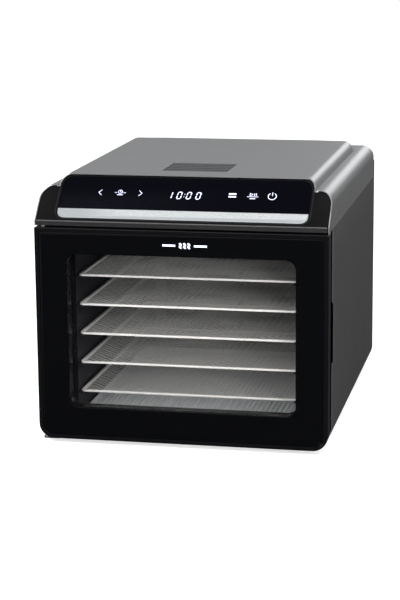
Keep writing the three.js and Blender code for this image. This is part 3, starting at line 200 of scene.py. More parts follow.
def mirrored(half: Array) -> Array:
    """Points (x, z) up to the middle line, joined to their mirror image as one row."""
    return np.concatenate([half, half[:-1][::-1] * (-1, 1)])


def along_x(section: Array, x0: float, x1: float) -> Array:
    """Section (y, z) drawn out along X, as its two end loops."""
    return np.stack([np.insert(section, 0, x, axis=1) for x in (x0, x1)])


# ------------------------------------------------------------------ meshes

class Shell:
    """Gathers grids of points and turns them into one finished mesh object."""

    def __init__(self) -> None:
        """Starts with nothing in it."""
        self.points: list[Array] = []
        self.faces: list[list[int]] = []
        self.count = 0

    def take(self, points: Array) -> int:
        """Adds points.

        Args:
            points: an array of points of any shape.

        Returns:
            The number of the first one.
        """
        flat = np.asarray(points, float).reshape(-1, 3)
        first = self.count
        self.points.append(flat)
        self.count += len(flat)
        return first

    def grid(self, rows: Array, round_u: bool = False, round_v: bool = False,
             keep: Array | None = None) -> Shell:
        """Adds the surface P(u, v) given as an array of rows of points.

        Args:
            rows: points of shape (rows, columns, 3).
            round_u: whether the last column joins the first.
            round_v: whether the last row joins the first.
            keep: which cells are kept, or all of them.

        Returns:
            This shell.
        """
        high, wide = rows.shape[:2]
        first = self.take(rows)
        v = np.arange(high if round_v else high - 1)[:, None]
        u = np.arange(wide if round_u else wide - 1)[None, :]
        v_next, u_next = (v + 1) % high, (u + 1) % wide
        cells = np.stack([
            v * wide + u, v * wide + u_next, v_next * wide + u_next, v_next * wide + u], axis=-1)
        chosen = cells.reshape(-1, 4) if keep is None else cells[keep]
        self.faces.extend((chosen + first).tolist())
        return self

    def cap(self, loop: Array) -> Shell:
        """Adds one flat face.

        Args:
            loop: its corners in order.

        Returns:
            This shell.
        """
        first = self.take(loop)
        self.faces.append(list(range(first, first + len(loop))))
        return self

    def body(self, loops: Array) -> Shell:
        """Adds a closed solid skinned over a stack of loops, with a face at both ends."""
        return self.grid(loops, round_u=True).cap(loops[0]).cap(loops[-1])

    def ring(self, loops: Array) -> Shell:
        """Adds a closed ring skinned over loops, the last of which joins the first."""
        return self.grid(loops, round_u=True, round_v=True)

    def ribbon(self, path: Array, width: float, low: float, high: float, place: Place,
               closed: bool = False) -> Shell:
        """Adds a raised line: a rectangle carried along a flat path.

        Each corner is path ± width / 2 times the path's normal, at the low or high level.

        Args:
            path: points (a, b) of the middle line.
            width: width of the line.
            low: level of its underside.
            high: level of its upper face.
            place: puts local points (a, b, level) in space.
            closed: whether the line runs back to its start.

        Returns:
            This shell.
        """
        if closed:
            along = np.roll(path, -1, axis=0) - np.roll(path, 1, axis=0)
        else:
            along = np.gradient(path, axis=0)
        along /= np.linalg.norm(along, axis=1, keepdims=True)
        side = np.stack([-along[:, 1], along[:, 0]], axis=1) * width / 2
        rows = np.stack([
            plan_view(path + side, low), plan_view(path - side, low),
            plan_view(path - side, high), plan_view(path + side, high)], axis=1)
        rows = place(rows)
        self.grid(rows, round_u=True, round_v=closed)
        return self if closed else self.cap(rows[0]).cap(rows[-1])

    def patch(self, outline: Array, low: float, high: float, place: Place) -> Shell:
        """Adds a flat raised shape between two levels of a placed plane."""
        return self.body(place(np.stack([plan_view(outline, low), plan_view(outline, high)])))

    def lathe(self, profile: Array, centre: Sequence[float], sides: int = 32) -> Shell:
        """Adds a turned solid: the profile (radius, z) carried round a vertical axis.

        Args:
            profile: points (radius, z) from one end of the axis to the other.
            centre: where the axis stands, (x, y).
            sides: number of spans round it.

        Returns:
            This shell.
        """
        turn = np.linspace(0, 2 * np.pi, sides, endpoint=False)
        radius, level = profile[:, 0][:, None], profile[:, 1][:, None]
        loops = np.stack([
            centre[0] + radius * np.cos(turn), centre[1] + radius * np.sin(turn),
            level + 0 * turn], axis=-1)
        return self.body(loops)

    def weave(self, centre: Array, reach: Array, pitch: float, radius: float, lift: float) -> Shell:
        """Adds a flat mesh of two sets of square wires that cross each other at 45 degrees to X.

        Wire w at station s is at pitch (s a + w b), with a along the wires and b across them,
        and at the height lift (-1)^(w + s) in one set and -lift (-1)^(w + s) in the other, so
        they pass over and under. The ring there is that point plus radius (b cos t + z sin t).

        Args:
            centre: middle of the mesh, (x, y, z).
            reach: half its size, (x, y).
            pitch: distance between wires.
            radius: half the diagonal of a wire's section.
            lift: how far a wire rises and falls.

        Returns:
            This shell.
        """
        last = math.ceil(reach.sum() / pitch / math.sqrt(2))
        numbers = np.arange(-last, last + 1)
        wire, station = np.meshgrid(numbers, numbers, indexing="ij")
        turn = np.radians(np.array([0, 90, 180, 270]))[:, None]
        high = np.array([0, 0, 1])
        corner = np.arange(4)
        for way in (1, -1):
            along = np.array([1, way, 0]) / math.sqrt(2)
            across = np.array([-way, 1, 0]) / math.sqrt(2)
            middle = pitch * (station[..., None] * along + wire[..., None] * across)
            inside = np.all(np.abs(middle[..., :2]) < reach, axis=-1)
            middle = middle + centre + way * lift * (-1.0) ** (wire + station)[..., None] * high
            points = middle[:, :, None] + radius * (np.cos(turn) * across + np.sin(turn) * high)
            kept = inside[:, :-1] & inside[:, 1:]
            shut = np.zeros((len(kept), 1), bool)
            first = kept & ~np.concatenate([shut, kept[:, :-1]], axis=1)
            final = kept & ~np.concatenate([kept[:, 1:], shut], axis=1)
            base = 4 * (np.arange(len(wire))[:, None] * len(wire) + np.arange(len(wire) - 1))[..., None]
            near, next_near = base + corner, base + (corner + 1) % 4
            sides = np.stack([near, next_near, next_near + 4, near + 4], axis=-1)[kept].reshape(-1, 4)
            faces = np.concatenate([sides, near[first], near[final][:, ::-1] + 4])
            used, faces = np.unique(faces, return_inverse=True)
            start = self.take(points.reshape(-1, 3)[used])
            self.faces.extend((faces.reshape(-1, 4) + start).tolist())
        return self

    def make(self, name: str, wall: float = 0.0, crease: float = 32.0) -> bpy.types.Object:
        """Turns the points into an object with outward faces and smooth shading.

        Args:
            name: name of the piece.
            wall: thickness that an open sheet grows inward, in millimetres.
            crease: angle in degrees past which an edge stays sharp.

        Returns:
            The new object, with its place in its mesh.
        """
        mesh = bpy.data.meshes.new(name)
        mesh.from_pydata((np.concatenate(self.points) * MM).tolist(), [], self.faces)
        piece = bpy.data.objects.new(name, mesh)
        bpy.context.scene.collection.objects.link(piece)
        self.weld(mesh)
        if wall:
            solid = piece.modifiers.new("wall", "SOLIDIFY")
            solid.thickness, solid.offset, solid.use_even_offset = wall * MM, -1, False
            graph = bpy.context.evaluated_depsgraph_get()
            mesh = bpy.data.meshes.new_from_object(piece.evaluated_get(graph))
            piece.modifiers.clear()
            piece.data = mesh
            self.weld(mesh)
        mesh.polygons.foreach_set("use_smooth", np.ones(len(mesh.polygons), bool))
        mesh.set_sharp_from_angle(angle=math.radians(crease))
        return piece

    @staticmethod
    def weld(mesh: bpy.types.Mesh) -> None:
        """Joins doubled points, drops empty faces and turns every face outward.

        Args:
            mesh: the mesh that is changed.
        """
        work = bmesh.new()
        work.from_mesh(mesh)
        bmesh.ops.remove_doubles(work, verts=work.verts, dist=SAME_POINT)
        bmesh.ops.dissolve_degenerate(work, edges=work.edges, dist=EMPTY_EDGE)
        bmesh.ops.recalc_face_normals(work, faces=work.faces)
        work.to_mesh(mesh)
        work.free()


# ------------------------------------------------------------------ shader maths

FULL_SIZE = (1.0, 1.0, 1.0)
EDGE_BEND = (0.53, 0.62)
WORN_SHARE = (0.3, 0.6)
WORN_SPOTS = 900.0


class Term:
    """A value in a shader, with the usual arithmetic."""

    def __init__(self, graph: Graph, socket: bpy.types.NodeSocket) -> None:
        """Wraps an output socket of a graph."""
        self.graph, self.socket = graph, socket

    def math(self, operation: str, left: Term | float, right: Term | float) -> Term:
        """Adds one Math node and returns its result."""
        return self.graph.node("ShaderNodeMath", {"operation": operation}, {0: left, 1: right})

    def __add__(self, other: Term | float) -> Term:
        """self + other."""
        return self.math("ADD", self, other)

    def __radd__(self, other: float) -> Term:
        """other + self."""
        return self.math("ADD", other, self)

    def __sub__(self, other: Term | float) -> Term:
        """self - other."""
        return self.math("SUBTRACT", self, other)

    def __rsub__(self, other: float) -> Term:
        """other - self."""
        return self.math("SUBTRACT", other, self)

    def __mul__(self, other: Term | float) -> Term:
        """self times other."""
        return self.math("MULTIPLY", self, other)

    def __rmul__(self, other: float) -> Term:
        """other times self."""
        return self.math("MULTIPLY", other, self)

    def __pow__(self, other: float) -> Term:
        """self to a power."""
        return self.math("POWER", self, other)

    def above(self, low: float, high: float) -> Term:
        """0 below low, 1 above high and a smooth rise between them."""
        return self.graph.node(
            "ShaderNodeMapRange", {"interpolation_type": "SMOOTHSTEP"}, {"Value": self, 1: low, 2: high})


class Graph:
    """The node tree of one new material."""

    def __init__(self, name: str) -> None:
        """Starts an empty node material.

        Args:
            name: name of the material.
        """
        self.material = bpy.data.materials.new(name)
        self.material.use_nodes = True
        self.tree = self.material.node_tree
        self.tree.nodes.clear()

    def node(self, kind: str, settings: dict | None = None, inputs: dict | None = None,
             output: int | str = 0) -> Term:
        """Adds a node.

        Args:
            kind: the node's type.
            settings: properties set before its sockets, such as an operation.
            inputs: values or terms by socket name or number.
            output: which output is returned.

        Returns:
            The chosen output.
        """
        made = self.tree.nodes.new(kind)
        for key, value in (settings or {}).items():
            setattr(made, key, value)
        for key, value in (inputs or {}).items():
            if isinstance(value, Term):
                self.tree.links.new(value.socket, made.inputs[key])
            else:
                made.inputs[key].default_value = value
        return Term(self, made.outputs[output] if made.outputs else None)

    def place(self, stretch: Sequence[float] = FULL_SIZE) -> Term:
        """Object coordinates stretched along each axis."""
        where = self.node("ShaderNodeTexCoord", output="Object")
        return self.node("ShaderNodeMapping", inputs={"Vector": where, "Scale": tuple(stretch)})

    def noise(self, scale: float, detail: float = 2.0, stretch: Sequence[float] = FULL_SIZE) -> Term:
        """Smooth noise in object space, from 0 to 1."""
        return self.node("ShaderNodeTexNoise", inputs={
            "Vector": self.place(stretch), "Scale": scale, "Detail": detail, "Roughness": 0.55})

    def mix(self, share: Term | float, first: Term | tuple, second: Term | tuple) -> Term:
        """Colour that goes from the first to the second as the share goes from 0 to 1."""
        return self.node("ShaderNodeMix", {"data_type": "RGBA"}, {0: share, 6: first, 7: second}, 2)

    def wear(self) -> Term:
        """1 along outer edges and corners, 0 elsewhere."""
        bend = self.node("ShaderNodeNewGeometry", output="Pointiness")
        return bend.above(*EDGE_BEND) * self.noise(WORN_SPOTS).above(*WORN_SHARE)

    def finish(self, shader: Term) -> bpy.types.Material:
        """Joins a shader to the output and returns the material."""
        self.node("ShaderNodeOutputMaterial", inputs={"Surface": shader})
        return self.material


class Grain(Enum):
    """How the smallest marks of a finish run: stretch on each axis and marks per metre."""

    BRUSHED_X = ((0.04, 1.0, 1.0), 1400.0)
    BRUSHED_Y = ((1.0, 0.04, 1.0), 1400.0)
    MOULDED = (FULL_SIZE, 1500.0)
    SATIN = (FULL_SIZE, 700.0)
    DRAWN_WIRE = ((0.2, 0.2, 1.0), 2500.0)
    BRAIDED = (FULL_SIZE, 500.0)
    PRINTED = (FULL_SIZE, 160.0)


PATCHES = 18.0
MARK_HEIGHT = 0.0002
COAT_ROUGHNESS = 0.08


@dataclass(frozen=True)
class Finish:
    """Surface finish of one material slot.

    The grain's bump, the shift of the shade and the smudge of the roughness are the strengths
    of its marks. Wear is how far worn edges go over to the worn colour.
    """

    colour: Colour
    roughness: float
    metallic: float = 0.0
    grain: Grain = Grain.SATIN
    bump: float = 0.05
    shift: float = 0.08
    smudge: float = 0.06
    wear: float = 0.3
    worn: Colour = (0.5, 0.5, 0.5)
    gloss: float = 0.5
    coat: float = 0.0
    glow: float = 0.0

    def detail(self, graph: Graph) -> Term:
        """Height and shade pattern of the finish's smallest marks.

        Args:
            graph: the material's nodes.

        Returns:
            The pattern's value.
        """
        stretch, scale = self.grain.value
        if self.grain is Grain.BRAIDED:
            return graph.node("ShaderNodeTexWave", {"wave_type": "BANDS", "bands_direction": "DIAGONAL"}, {
                "Vector": graph.place(stretch), "Scale": scale / 3, "Distortion": 3.0}, "Fac")
        if self.grain is Grain.PRINTED:
            traces = graph.node("ShaderNodeTexVoronoi", {"distance": "MANHATTAN", "feature": "F1"}, {
                "Vector": graph.place(stretch), "Scale": scale})
            return traces.above(0.3, 0.36)
        if self.grain is Grain.MOULDED:
            return graph.node("ShaderNodeTexVoronoi", {"feature": "SMOOTH_F1"}, {
                "Vector": graph.place(stretch), "Scale": scale})
        return graph.noise(scale, 3.0, stretch)

    def dress(self, name: str) -> bpy.types.Material:
        """Builds the material.

        Args:
            name: name of the material.

        Returns:
            A node material with grain, soft patches and worn edges.
        """
        graph = Graph(name)
        fine = self.detail(graph)
        patch = graph.noise(PATCHES, 4.0)
        wear = graph.wear() * self.wear
        dark = tuple(c * (1 - self.shift) for c in self.colour)
        light = tuple(min(1.0, c * (1 + self.shift)) for c in self.colour)
        tone = graph.mix(fine * 0.5 + patch * 0.5, (*dark, 1.0), (*light, 1.0))
        colour = graph.mix(wear, tone, (*self.worn, 1.0))
        rough = self.roughness + (patch - 0.5) * self.smudge + (fine - 0.5) * (self.smudge * 0.6)
        normal = graph.node("ShaderNodeBump", inputs={
            "Height": fine, "Strength": self.bump, "Distance": MARK_HEIGHT})
        inputs = {
            "Base Color": colour, "Roughness": rough, "Metallic": self.metallic, "Normal": normal,
            "Specular IOR Level": self.gloss, "Coat Weight": self.coat, "Coat Roughness": COAT_ROUGHNESS}
        if self.glow:
            shine = graph.mix(fine, (*dark, 1.0), (*light, 1.0))
            inputs |= {"Emission Color": shine, "Emission Strength": self.glow}
        return graph.finish(graph.node("ShaderNodeBsdfPrincipled", inputs=inputs))


@dataclass(frozen=True)
class ClearFinish:
    """A clear pane: partly see-through, partly a glossy reflection, with faint smears."""

    tint: Colour
    gloss: float
    reflect: float
    facing: float
    grazing: float = 0.35
    smears: float = 25.0
    smear_shine: float = 0.01
    roughness: float = 0.04
    smear_roughness: float = 0.05

    def dress(self, name: str) -> bpy.types.Material:
        """Builds the material.

        Args:
            name: name of the material.

        Returns:
            A mix of a see-through and a glossy shader.
        """
        graph = Graph(name)
        smear = graph.noise(self.smears, 3.0, (1.0, 1.0, 0.4))
        slant = graph.node("ShaderNodeLayerWeight", inputs={"Blend": self.facing}, output="Facing")
        share = self.reflect + (slant ** 3.0) * self.grazing + smear * self.smear_shine
        clear = graph.node("ShaderNodeBsdfTransparent", inputs={"Color": (*self.tint, 1.0)})
        shine = graph.node("ShaderNodeBsdfPrincipled", inputs={
            "Base Color": (0.004, 0.004, 0.006, 1.0), "Specular IOR Level": self.gloss,
            "Roughness": self.roughness + smear * self.smear_roughness})
        return graph.finish(graph.node("ShaderNodeMixShader", inputs={0: share, 1: clear, 2: shine}))


SCUFFED: Colour = (0.16, 0.16, 0.165)
PALETTE: dict[str, Finish | ClearFinish] = {
    "hood_metal": Finish((0.40, 0.405, 0.415), 0.42, metallic=0.95, grain=Grain.BRUSHED_X, bump=0.10,
        shift=0.07, smudge=0.05, wear=0.25, worn=(0.6, 0.6, 0.62)),
    "panel_paint": Finish((0.045, 0.045, 0.046), 0.46, metallic=0.1, bump=0.10, shift=0.10, smudge=0.08,
        wear=0.25, worn=SCUFFED, gloss=0.25),
    "black_plastic": Finish((0.003, 0.003, 0.0033), 0.62, grain=Grain.MOULDED, bump=0.35, shift=0.15,
        smudge=0.1, wear=0.2, worn=(0.02, 0.02, 0.021), gloss=0.045),
    "dark_plastic": Finish((0.008, 0.008, 0.009), 0.55, grain=Grain.MOULDED, bump=0.3, shift=0.12,
        smudge=0.08, wear=0.2, worn=(0.04, 0.04, 0.04), gloss=0.09),
    "vent_plastic": Finish((0.115, 0.117, 0.123), 0.5, metallic=0.6, bump=0.12, shift=0.1, smudge=0.08,
        wear=0.3, worn=(0.12, 0.12, 0.13), gloss=0.3),
    "door_black": Finish((0.0025, 0.0025, 0.003), 0.22, bump=0.02, shift=0.1, smudge=0.05, wear=0.25,
        worn=(0.035, 0.035, 0.04), gloss=0.08),
    "door_glass": Finish((0.0014, 0.0015, 0.0018), 0.06, bump=0.01, shift=0.12, smudge=0.04, wear=0.1,
        worn=(0.03, 0.03, 0.035), gloss=0.06),
    "clear_glass": ClearFinish((0.95, 0.95, 0.95), gloss=0.3, reflect=0.02, facing=0.35),
    "control_glass": Finish((0.0012, 0.0012, 0.0026), 0.07, bump=0.01, shift=0.12, smudge=0.04, wear=0.1,
        worn=(0.03, 0.03, 0.04), gloss=0.035),
    # display_light glows: the clock and the keys are lit, and on the door's printed mark the same glow is
    # painted light.
    "display_light": Finish((0.70, 0.73, 1.0), 0.4, bump=0.02, shift=0.05, smudge=0.02, wear=0.0,
        worn=(1.0, 1.0, 1.0), gloss=0.2, glow=0.42),
    "strip_aluminium": Finish((0.31, 0.325, 0.335), 0.42, metallic=0.4, grain=Grain.BRUSHED_X, bump=0.12,
        shift=0.05, smudge=0.06, wear=0.3, worn=(0.9, 0.9, 0.9)),
    # liner_steel is painted shade: the liner's steel is coloured near black with a blue tint to stand in for
    # the shade inside the chamber.
    "liner_steel": Finish((0.010, 0.011, 0.017), 0.45, metallic=0.5, grain=Grain.BRUSHED_Y, bump=0.12,
        shift=0.1, smudge=0.08, wear=0.2, worn=(0.2, 0.2, 0.2), gloss=0.3),
    "zinc_steel": Finish((0.42, 0.43, 0.45), 0.42, metallic=0.9, bump=0.1, shift=0.14, smudge=0.12,
        wear=0.25, worn=(0.7, 0.7, 0.7)),
    # bright_steel is partly painted sheen: the rim's steel colour is raised to near white and made mostly
    # diffuse to stand in for the bright reflection along the tray rims.
    "bright_steel": Finish((0.96, 0.94, 0.91), 0.32, metallic=0.12, grain=Grain.BRUSHED_Y, bump=0.05,
        shift=0.05, smudge=0.06, wear=0.2, worn=(0.85, 0.85, 0.85)),
    "hinge_steel": Finish((0.02, 0.02, 0.022), 0.4, metallic=0.2, bump=0.1, shift=0.1, smudge=0.1,
        wear=0.4, worn=(0.3, 0.3, 0.3)),
    "motor_steel": Finish((0.09, 0.09, 0.095), 0.5, metallic=0.6, grain=Grain.BRUSHED_X, bump=0.2,
        shift=0.15, smudge=0.12, wear=0.35, worn=(0.4, 0.4, 0.4)),
    "heater_steel": Finish((0.13, 0.115, 0.10), 0.5, metallic=0.8, bump=0.15, shift=0.25, smudge=0.15,
        wear=0.3, worn=(0.3, 0.25, 0.2)),
    # tray_steel is partly painted sheen: the wire's pale steel colour is raised and made less metallic to
    # stand in for the reflections the wires catch.
    "tray_steel": Finish((0.72, 0.71, 0.69), 0.35, metallic=0.4, grain=Grain.DRAWN_WIRE, bump=0.05,
        shift=0.06, smudge=0.06, wear=0.15, worn=(0.9, 0.9, 0.88)),
    "tray_aluminium": Finish((0.84, 0.86, 0.87), 0.38, metallic=0.25, grain=Grain.BRUSHED_Y, bump=0.12,
        shift=0.07, smudge=0.08, wear=0.3, worn=(0.85, 0.86, 0.88)),
    "fan_aluminium": Finish((0.5, 0.51, 0.52), 0.35, metallic=0.95, bump=0.08, shift=0.1, smudge=0.08,
        wear=0.3, worn=(0.8, 0.8, 0.8)),
    "circuit_board": Finish((0.01, 0.10, 0.035), 0.35, grain=Grain.PRINTED, bump=0.15, shift=0.35,
        smudge=0.1, wear=0.3, worn=(0.5, 0.4, 0.15)),
    "ceramic": Finish((0.74, 0.70, 0.62), 0.3, bump=0.1, shift=0.06, smudge=0.1, wear=0.2,
        worn=(0.9, 0.88, 0.8), gloss=0.5, coat=0.4),
    "wire_sleeve": Finish((0.30, 0.29, 0.27), 0.7, grain=Grain.BRAIDED, bump=0.6, shift=0.3, smudge=0.1,
        wear=0.0),
    "seal_rubber": Finish((0.02, 0.02, 0.021), 0.75, grain=Grain.MOULDED, bump=0.2, shift=0.15, smudge=0.1,
        wear=0.1, worn=(0.08, 0.08, 0.08), gloss=0.3),
    "foot_rubber": Finish((0.014, 0.014, 0.014), 0.8, grain=Grain.MOULDED, bump=0.4, shift=0.2, smudge=0.1,
        wear=0.3, worn=(0.07, 0.07, 0.07), gloss=0.3),
    "screw_steel": Finish((0.10, 0.10, 0.105), 0.35, metallic=0.9, bump=0.08, shift=0.1, smudge=0.1,
        wear=0.4, worn=(0.5, 0.5, 0.5)),
}


class Wardrobe:
    """Makes each slot's material once and puts it on pieces and CAD nodes."""

    def __init__(self) -> None:
        """Builds every material of the palette."""
        self.materials = {slot: finish.dress(slot) for slot, finish in PALETTE.items()}

    def wear(self, piece: bpy.types.Object, slot: str) -> None:
        """Gives an object one slot's material."""
        piece.data.materials.clear()
        piece.data.materials.append(self.materials[slot])

    def add(self, piece: bpy.types.Object, slot: str, body: str, *nodes: str) -> bpy.types.Object:
        """Dresses a new piece and joins it to the object.

        Args:
            piece: the new piece.
            slot: its material slot.
            body: the CAD body it moves with.
            nodes: the CAD nodes it stands for.

        Returns:
            The piece.
        """
        self.wear(piece, slot)
        if nodes:
            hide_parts(*nodes)
        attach(piece, body)
        LOG.info("%s: %d faces on %s", piece.name, len(piece.data.polygons), body)
        return piece

    def dress_frame(self) -> None:
        """Gives every CAD node the finish that its record names."""
        for row in frame["record"]["subparts"]:
            self.wear(frame["nodes"][row["node"]], row["material_slot"])
        LOG.info("dressed %d CAD nodes", len(frame["nodes"]))


# ------------------------------------------------------------------ hood

@dataclass
class Hood:
    """Sheet hood: rounded shoulders, a raised dome with a groove round its foot, a sloping front."""

    wardrobe: Wardrobe
    wall: float = 1.1
    shoulder: float = 42.7
    shoulder_width: float = 21.5
    shoulder_radius: float = 15.0
    dome_radius: float = 10.8
    groove_width: float = 2.4
    groove_depth: float = 0.9
    lip: float = 0.35
    support: float = 0.3
    band: float = 7.2
    run_per_rise: float = 1.05
    front_setback: float = 3.4
    front_flat: float = 3.0
    first_station: float = -150.0
    roof_station: float = -40.0
    roof_gap: float = 40.0
    bend_gap: float = 24.0
    bend_rows: int = 32
    deck_gap: float = 4.0
    last_station: float = 200.0
    dome_rear: float = 42.0
    dome_bend: float = 0.9
    lean: float = 5.0
    rear_radius: float = 5.0
    plan_corner: float = 22.0
    cover_rise: float = 21.7
    cover_step: float = 1.3
    step_half: float = 0.2
    slot_low: float = 6.0
    slot_high: float = 19.0
    slot_front: float = 59.0
    slot_back: float = 62.0
    arc_steps: int = 12

    def __post_init__(self) -> None:
        """Reads the hood's box and the vent's box, and sets the places that follow from them."""
        self.box = Extent.of("hood")
        self.vent = Extent.of("vent_grille")
        self.front = self.box.y0
        self.deck = self.box.z0 + self.shoulder
        door_front = self.front - self.front_setback
        self.slot = door_front + self.slot_front, door_front + self.slot_back
        self.dome_end = self.box.y1 - self.dome_rear
        self.dome_start = self.dome_end - self.lean - self.dome_radius

    def right_half(self) -> tuple[Array, Array, Array]:
        """Right half of the front view, from the seam up and inward to the middle.

        Returns:
            The full section, the same points without dome and groove, and the outward
            directions of those.
        """
        side, top, deck, lip = self.box.x1, self.box.z1, self.deck, self.lip
        dome = side - self.shoulder_width
        r, steps = self.shoulder_radius, self.arc_steps
        step = self.cover_rise - self.step_half, self.cover_rise + self.step_half
        rises = np.array([0, self.slot_low, self.slot_high, *step])
        wall = np.stack([np.full(rises.shape, side), rises + self.box.z0], axis=1)
        corner = arc((side - r, deck - r), r, 0, 90, steps)
        edge = dome + self.groove_width
        low = deck - self.groove_depth
        groove = np.array([
            [side - r - self.support, deck], [edge + lip + self.support, deck], [edge + lip, deck],
            [edge + lip * 0.3, deck - lip * 0.3], [edge, deck - lip], [edge, low], [dome, low]])
        crown = arc((dome - self.dome_radius, top - self.dome_radius), self.dome_radius, 0, 90, steps)
        hole = self.vent.x1 + self.support
        roof = np.array([dome - self.dome_radius - 0.4, dome * 0.7, dome * 0.5, hole, hole / 2, 0])
        roof = np.stack([roof, np.full(len(roof), top)], axis=1)
        full = np.concatenate([wall, corner, groove, crown, roof])
        flat = full.copy()
        raised = len(wall) + len(corner)
        flat[raised:, 1] = deck
        stop = raised + len(groove) + len(crown)
        flat[raised:stop, 0] = np.linspace(edge + lip, dome - self.dome_radius, stop - raised)
        out = np.zeros_like(full)
        out[:len(wall)] = (1, 0)
        out[len(wall):raised] = (corner - (side - r, deck - r)) / r
        out[raised:] = (0, 1)
        return full, flat, out

    def dome_share(self, x: Array, y: Array) -> Array:
        """Share of the dome's height that is left at each place.

        It is 1 up to the rear round, then (h - r + sqrt(r² - d²)) / h with d the way into
        the round, and falls straight to 0 over the leaning last stretch. The depth grows by
        c - sqrt(c² - e²) with e the way past the start of the plan's corner of radius c.

        Args:
            x: places across.
            y: places from front to back.

        Returns:
            The shares, from 1 to 0.
        """
        corner = self.plan_corner
        past = np.clip(np.abs(x) - (self.box.x1 - self.shoulder_width - corner), 0, corner)
        y = y + corner - np.sqrt(corner ** 2 - past ** 2)
        height = self.box.z1 - self.deck
        bend = self.dome_radius * self.dome_bend
        into = np.clip(y - self.dome_start, 0, bend)
        curve = (height - self.dome_radius + np.sqrt(self.dome_radius ** 2 - into ** 2)) / height
        last = self.dome_start + bend
        fall = np.clip((self.dome_end - y) / (self.dome_end - last), 0, 1)
        return curve * np.where(y > last, fall, 1)

    def stations(self, section: Array) -> Array:
        """Depths of the rows: sloping front rows that straighten out, then upright ones.

        Args:
            section: points of the front view.

        Returns:
            One depth for each row and point.
        """
        above = section[:, 1] - self.box.z0 - self.band
        start = self.front + np.clip(above, 0, None) * self.run_per_rise
        straight = self.front + (self.box.z1 - self.box.z0 - self.band) * self.run_per_rise + self.front_flat
        share = np.array([0, 0.01, 0.05, 0.2, 0.5, 1])[:, None]
        upright = np.sort(np.concatenate([
            self.slot, [self.first_station, self.vent.y0 - self.support, self.vent.y1 + self.support],
            np.linspace(self.roof_station, self.dome_start - self.roof_gap, 4),
            np.linspace(self.dome_start - self.bend_gap, self.dome_end, self.bend_rows),
            [self.dome_end + self.deck_gap, self.last_station]]))
        upright = np.broadcast_to(upright[:, None], (len(upright), len(section)))
        return np.concatenate([start * (1 - share) + straight * share, upright])

    def rear_edge(self, flat: Array, out: Array) -> Array:
        """Rows round the back edge: inset r (1 - cos t) at the depth back - r (1 - sin t), t to 90 degrees.

        Args:
            flat: front view without dome and groove.
            out: its outward directions.

        Returns:
            Seven rows of points. Above the rear cover they lean forward.
        """
        turn = np.radians(np.linspace(0, 90, 7))[:, None, None]
        section = flat - self.rear_radius * (1 - np.cos(turn)) * out
        rise = section[..., 1] - self.box.z0 - self.cover_rise
        leaning = self.box.y1 - rise * self.lean / (self.shoulder - self.cover_rise)
        back = np.where(rise > 0, leaning, self.box.y1 - self.cover_step)
        return front_view(section, back - self.rear_radius * (1 - np.sin(turn[..., 0])))

    def closed(self, rows: Array) -> Array:
        """Which cells of the surface are kept: all but the vent's hole and the side slots.

        Args:
            rows: points of the surface.

        Returns:
            One answer for each cell.
        """
        middle = (rows[:-1, :-1] + rows[1:, 1:]) / 2
        x, y, z = np.abs(middle[..., 0]), middle[..., 1], middle[..., 2]
        gap = self.support
        vent = (x < self.vent.x1 + gap) & (z > self.deck)
        vent &= (y > self.vent.y0 - gap) & (y < self.vent.y1 + gap)
        slot = (x > self.box.x1 - 0.1) & (y > self.slot[0]) & (y < self.slot[1])
        slot &= (z > self.box.z0 + self.slot_low) & (z < self.box.z0 + self.slot_high)
        return ~(vent | slot)

    def rows(self) -> Array:
        """The outer surface as rows from the sloping front to the back edge.

        Each point is flat + (full - flat) times the dome's share there.

        Returns:
            The points, row by row.
        """
        full, flat, out = (mirrored(half) for half in self.right_half())
        y = self.stations(full)
        share = self.dome_share(np.broadcast_to(flat[:, 0], y.shape), y)[..., None]
        body = front_view(flat + (full - flat) * share, y)
        return np.concatenate([body, self.rear_edge(flat, out)])

    def build(self) -> None:
        """Builds the hood's sheet and closes its back: upright, a small step, then leaning."""
        rows = self.rows()
        shell = Shell().grid(rows, keep=self.closed(rows))
        last = rows[-1]
        shell.cap(np.concatenate([last[:4], last[-4:]]))
        shell.cap(np.concatenate([last[3:5], last[-5:-3]]))
        shell.cap(last[4:-4])
        piece = shell.make("hood_sheet", wall=self.wall)
        self.wardrobe.add(piece, "hood_metal", "housing", "hood")


@dataclass
class Vent:
    """Grille in the dome: a slim rim with flat slats, cut back underneath."""

    wardrobe: Wardrobe
    rim: float = 1.1
    louvres: int = 5
    gap: float = 4.8
    sink: float = 2.4
    undercut: float = 2.2
    corner: float = 1.5
    chamfer: float = 0.3
    soft: float = 0.25
    edge_drop: float = 0.05
    end_gap: float = 0.1
    least_seat: float = 0.6

    def slat(self, near: float, far: float, top: float) -> Array:
        """Section (y, z) of a slat from its near to its far edge, cut back underneath."""
        deep, cut = top - self.undercut, self.soft
        return np.array([
            [near, top - cut], [near + self.undercut - cut, deep], [far, deep], [far, top - cut],
            [far - cut, top - self.edge_drop], [near + cut, top - self.edge_drop]])

    def build(self) -> None:
        """Builds the rim as a ring of rounded loops and the slats as bars along X."""
        box = Extent.of("vent_grille")
        seat = max(box.z1 - self.sink, box.z0 + self.least_seat)
        cut = self.chamfer
        shell = Shell().ring(np.stack([box.plan(inset, level, self.corner, 5) for inset, level in (
            (0, box.z0), (0, seat - cut), (cut, seat), (self.rim - cut, seat), (self.rim, seat - cut),
            (self.rim, box.z0))]))
        pitch = (box.y1 - box.y0 - 2 * self.rim) / self.louvres
        for number in range(self.louvres):
            near = box.y0 + self.rim + number * pitch + self.gap * 0.6
            section = self.slat(near, near + pitch - self.gap, box.z1)
            shell.body(along_x(section, box.x0 + self.end_gap, box.x1 - self.end_gap))
        self.wardrobe.add(shell.make("vent_louvres"), "vent_plastic", "housing", "vent_grille")


# ------------------------------------------------------------------ console

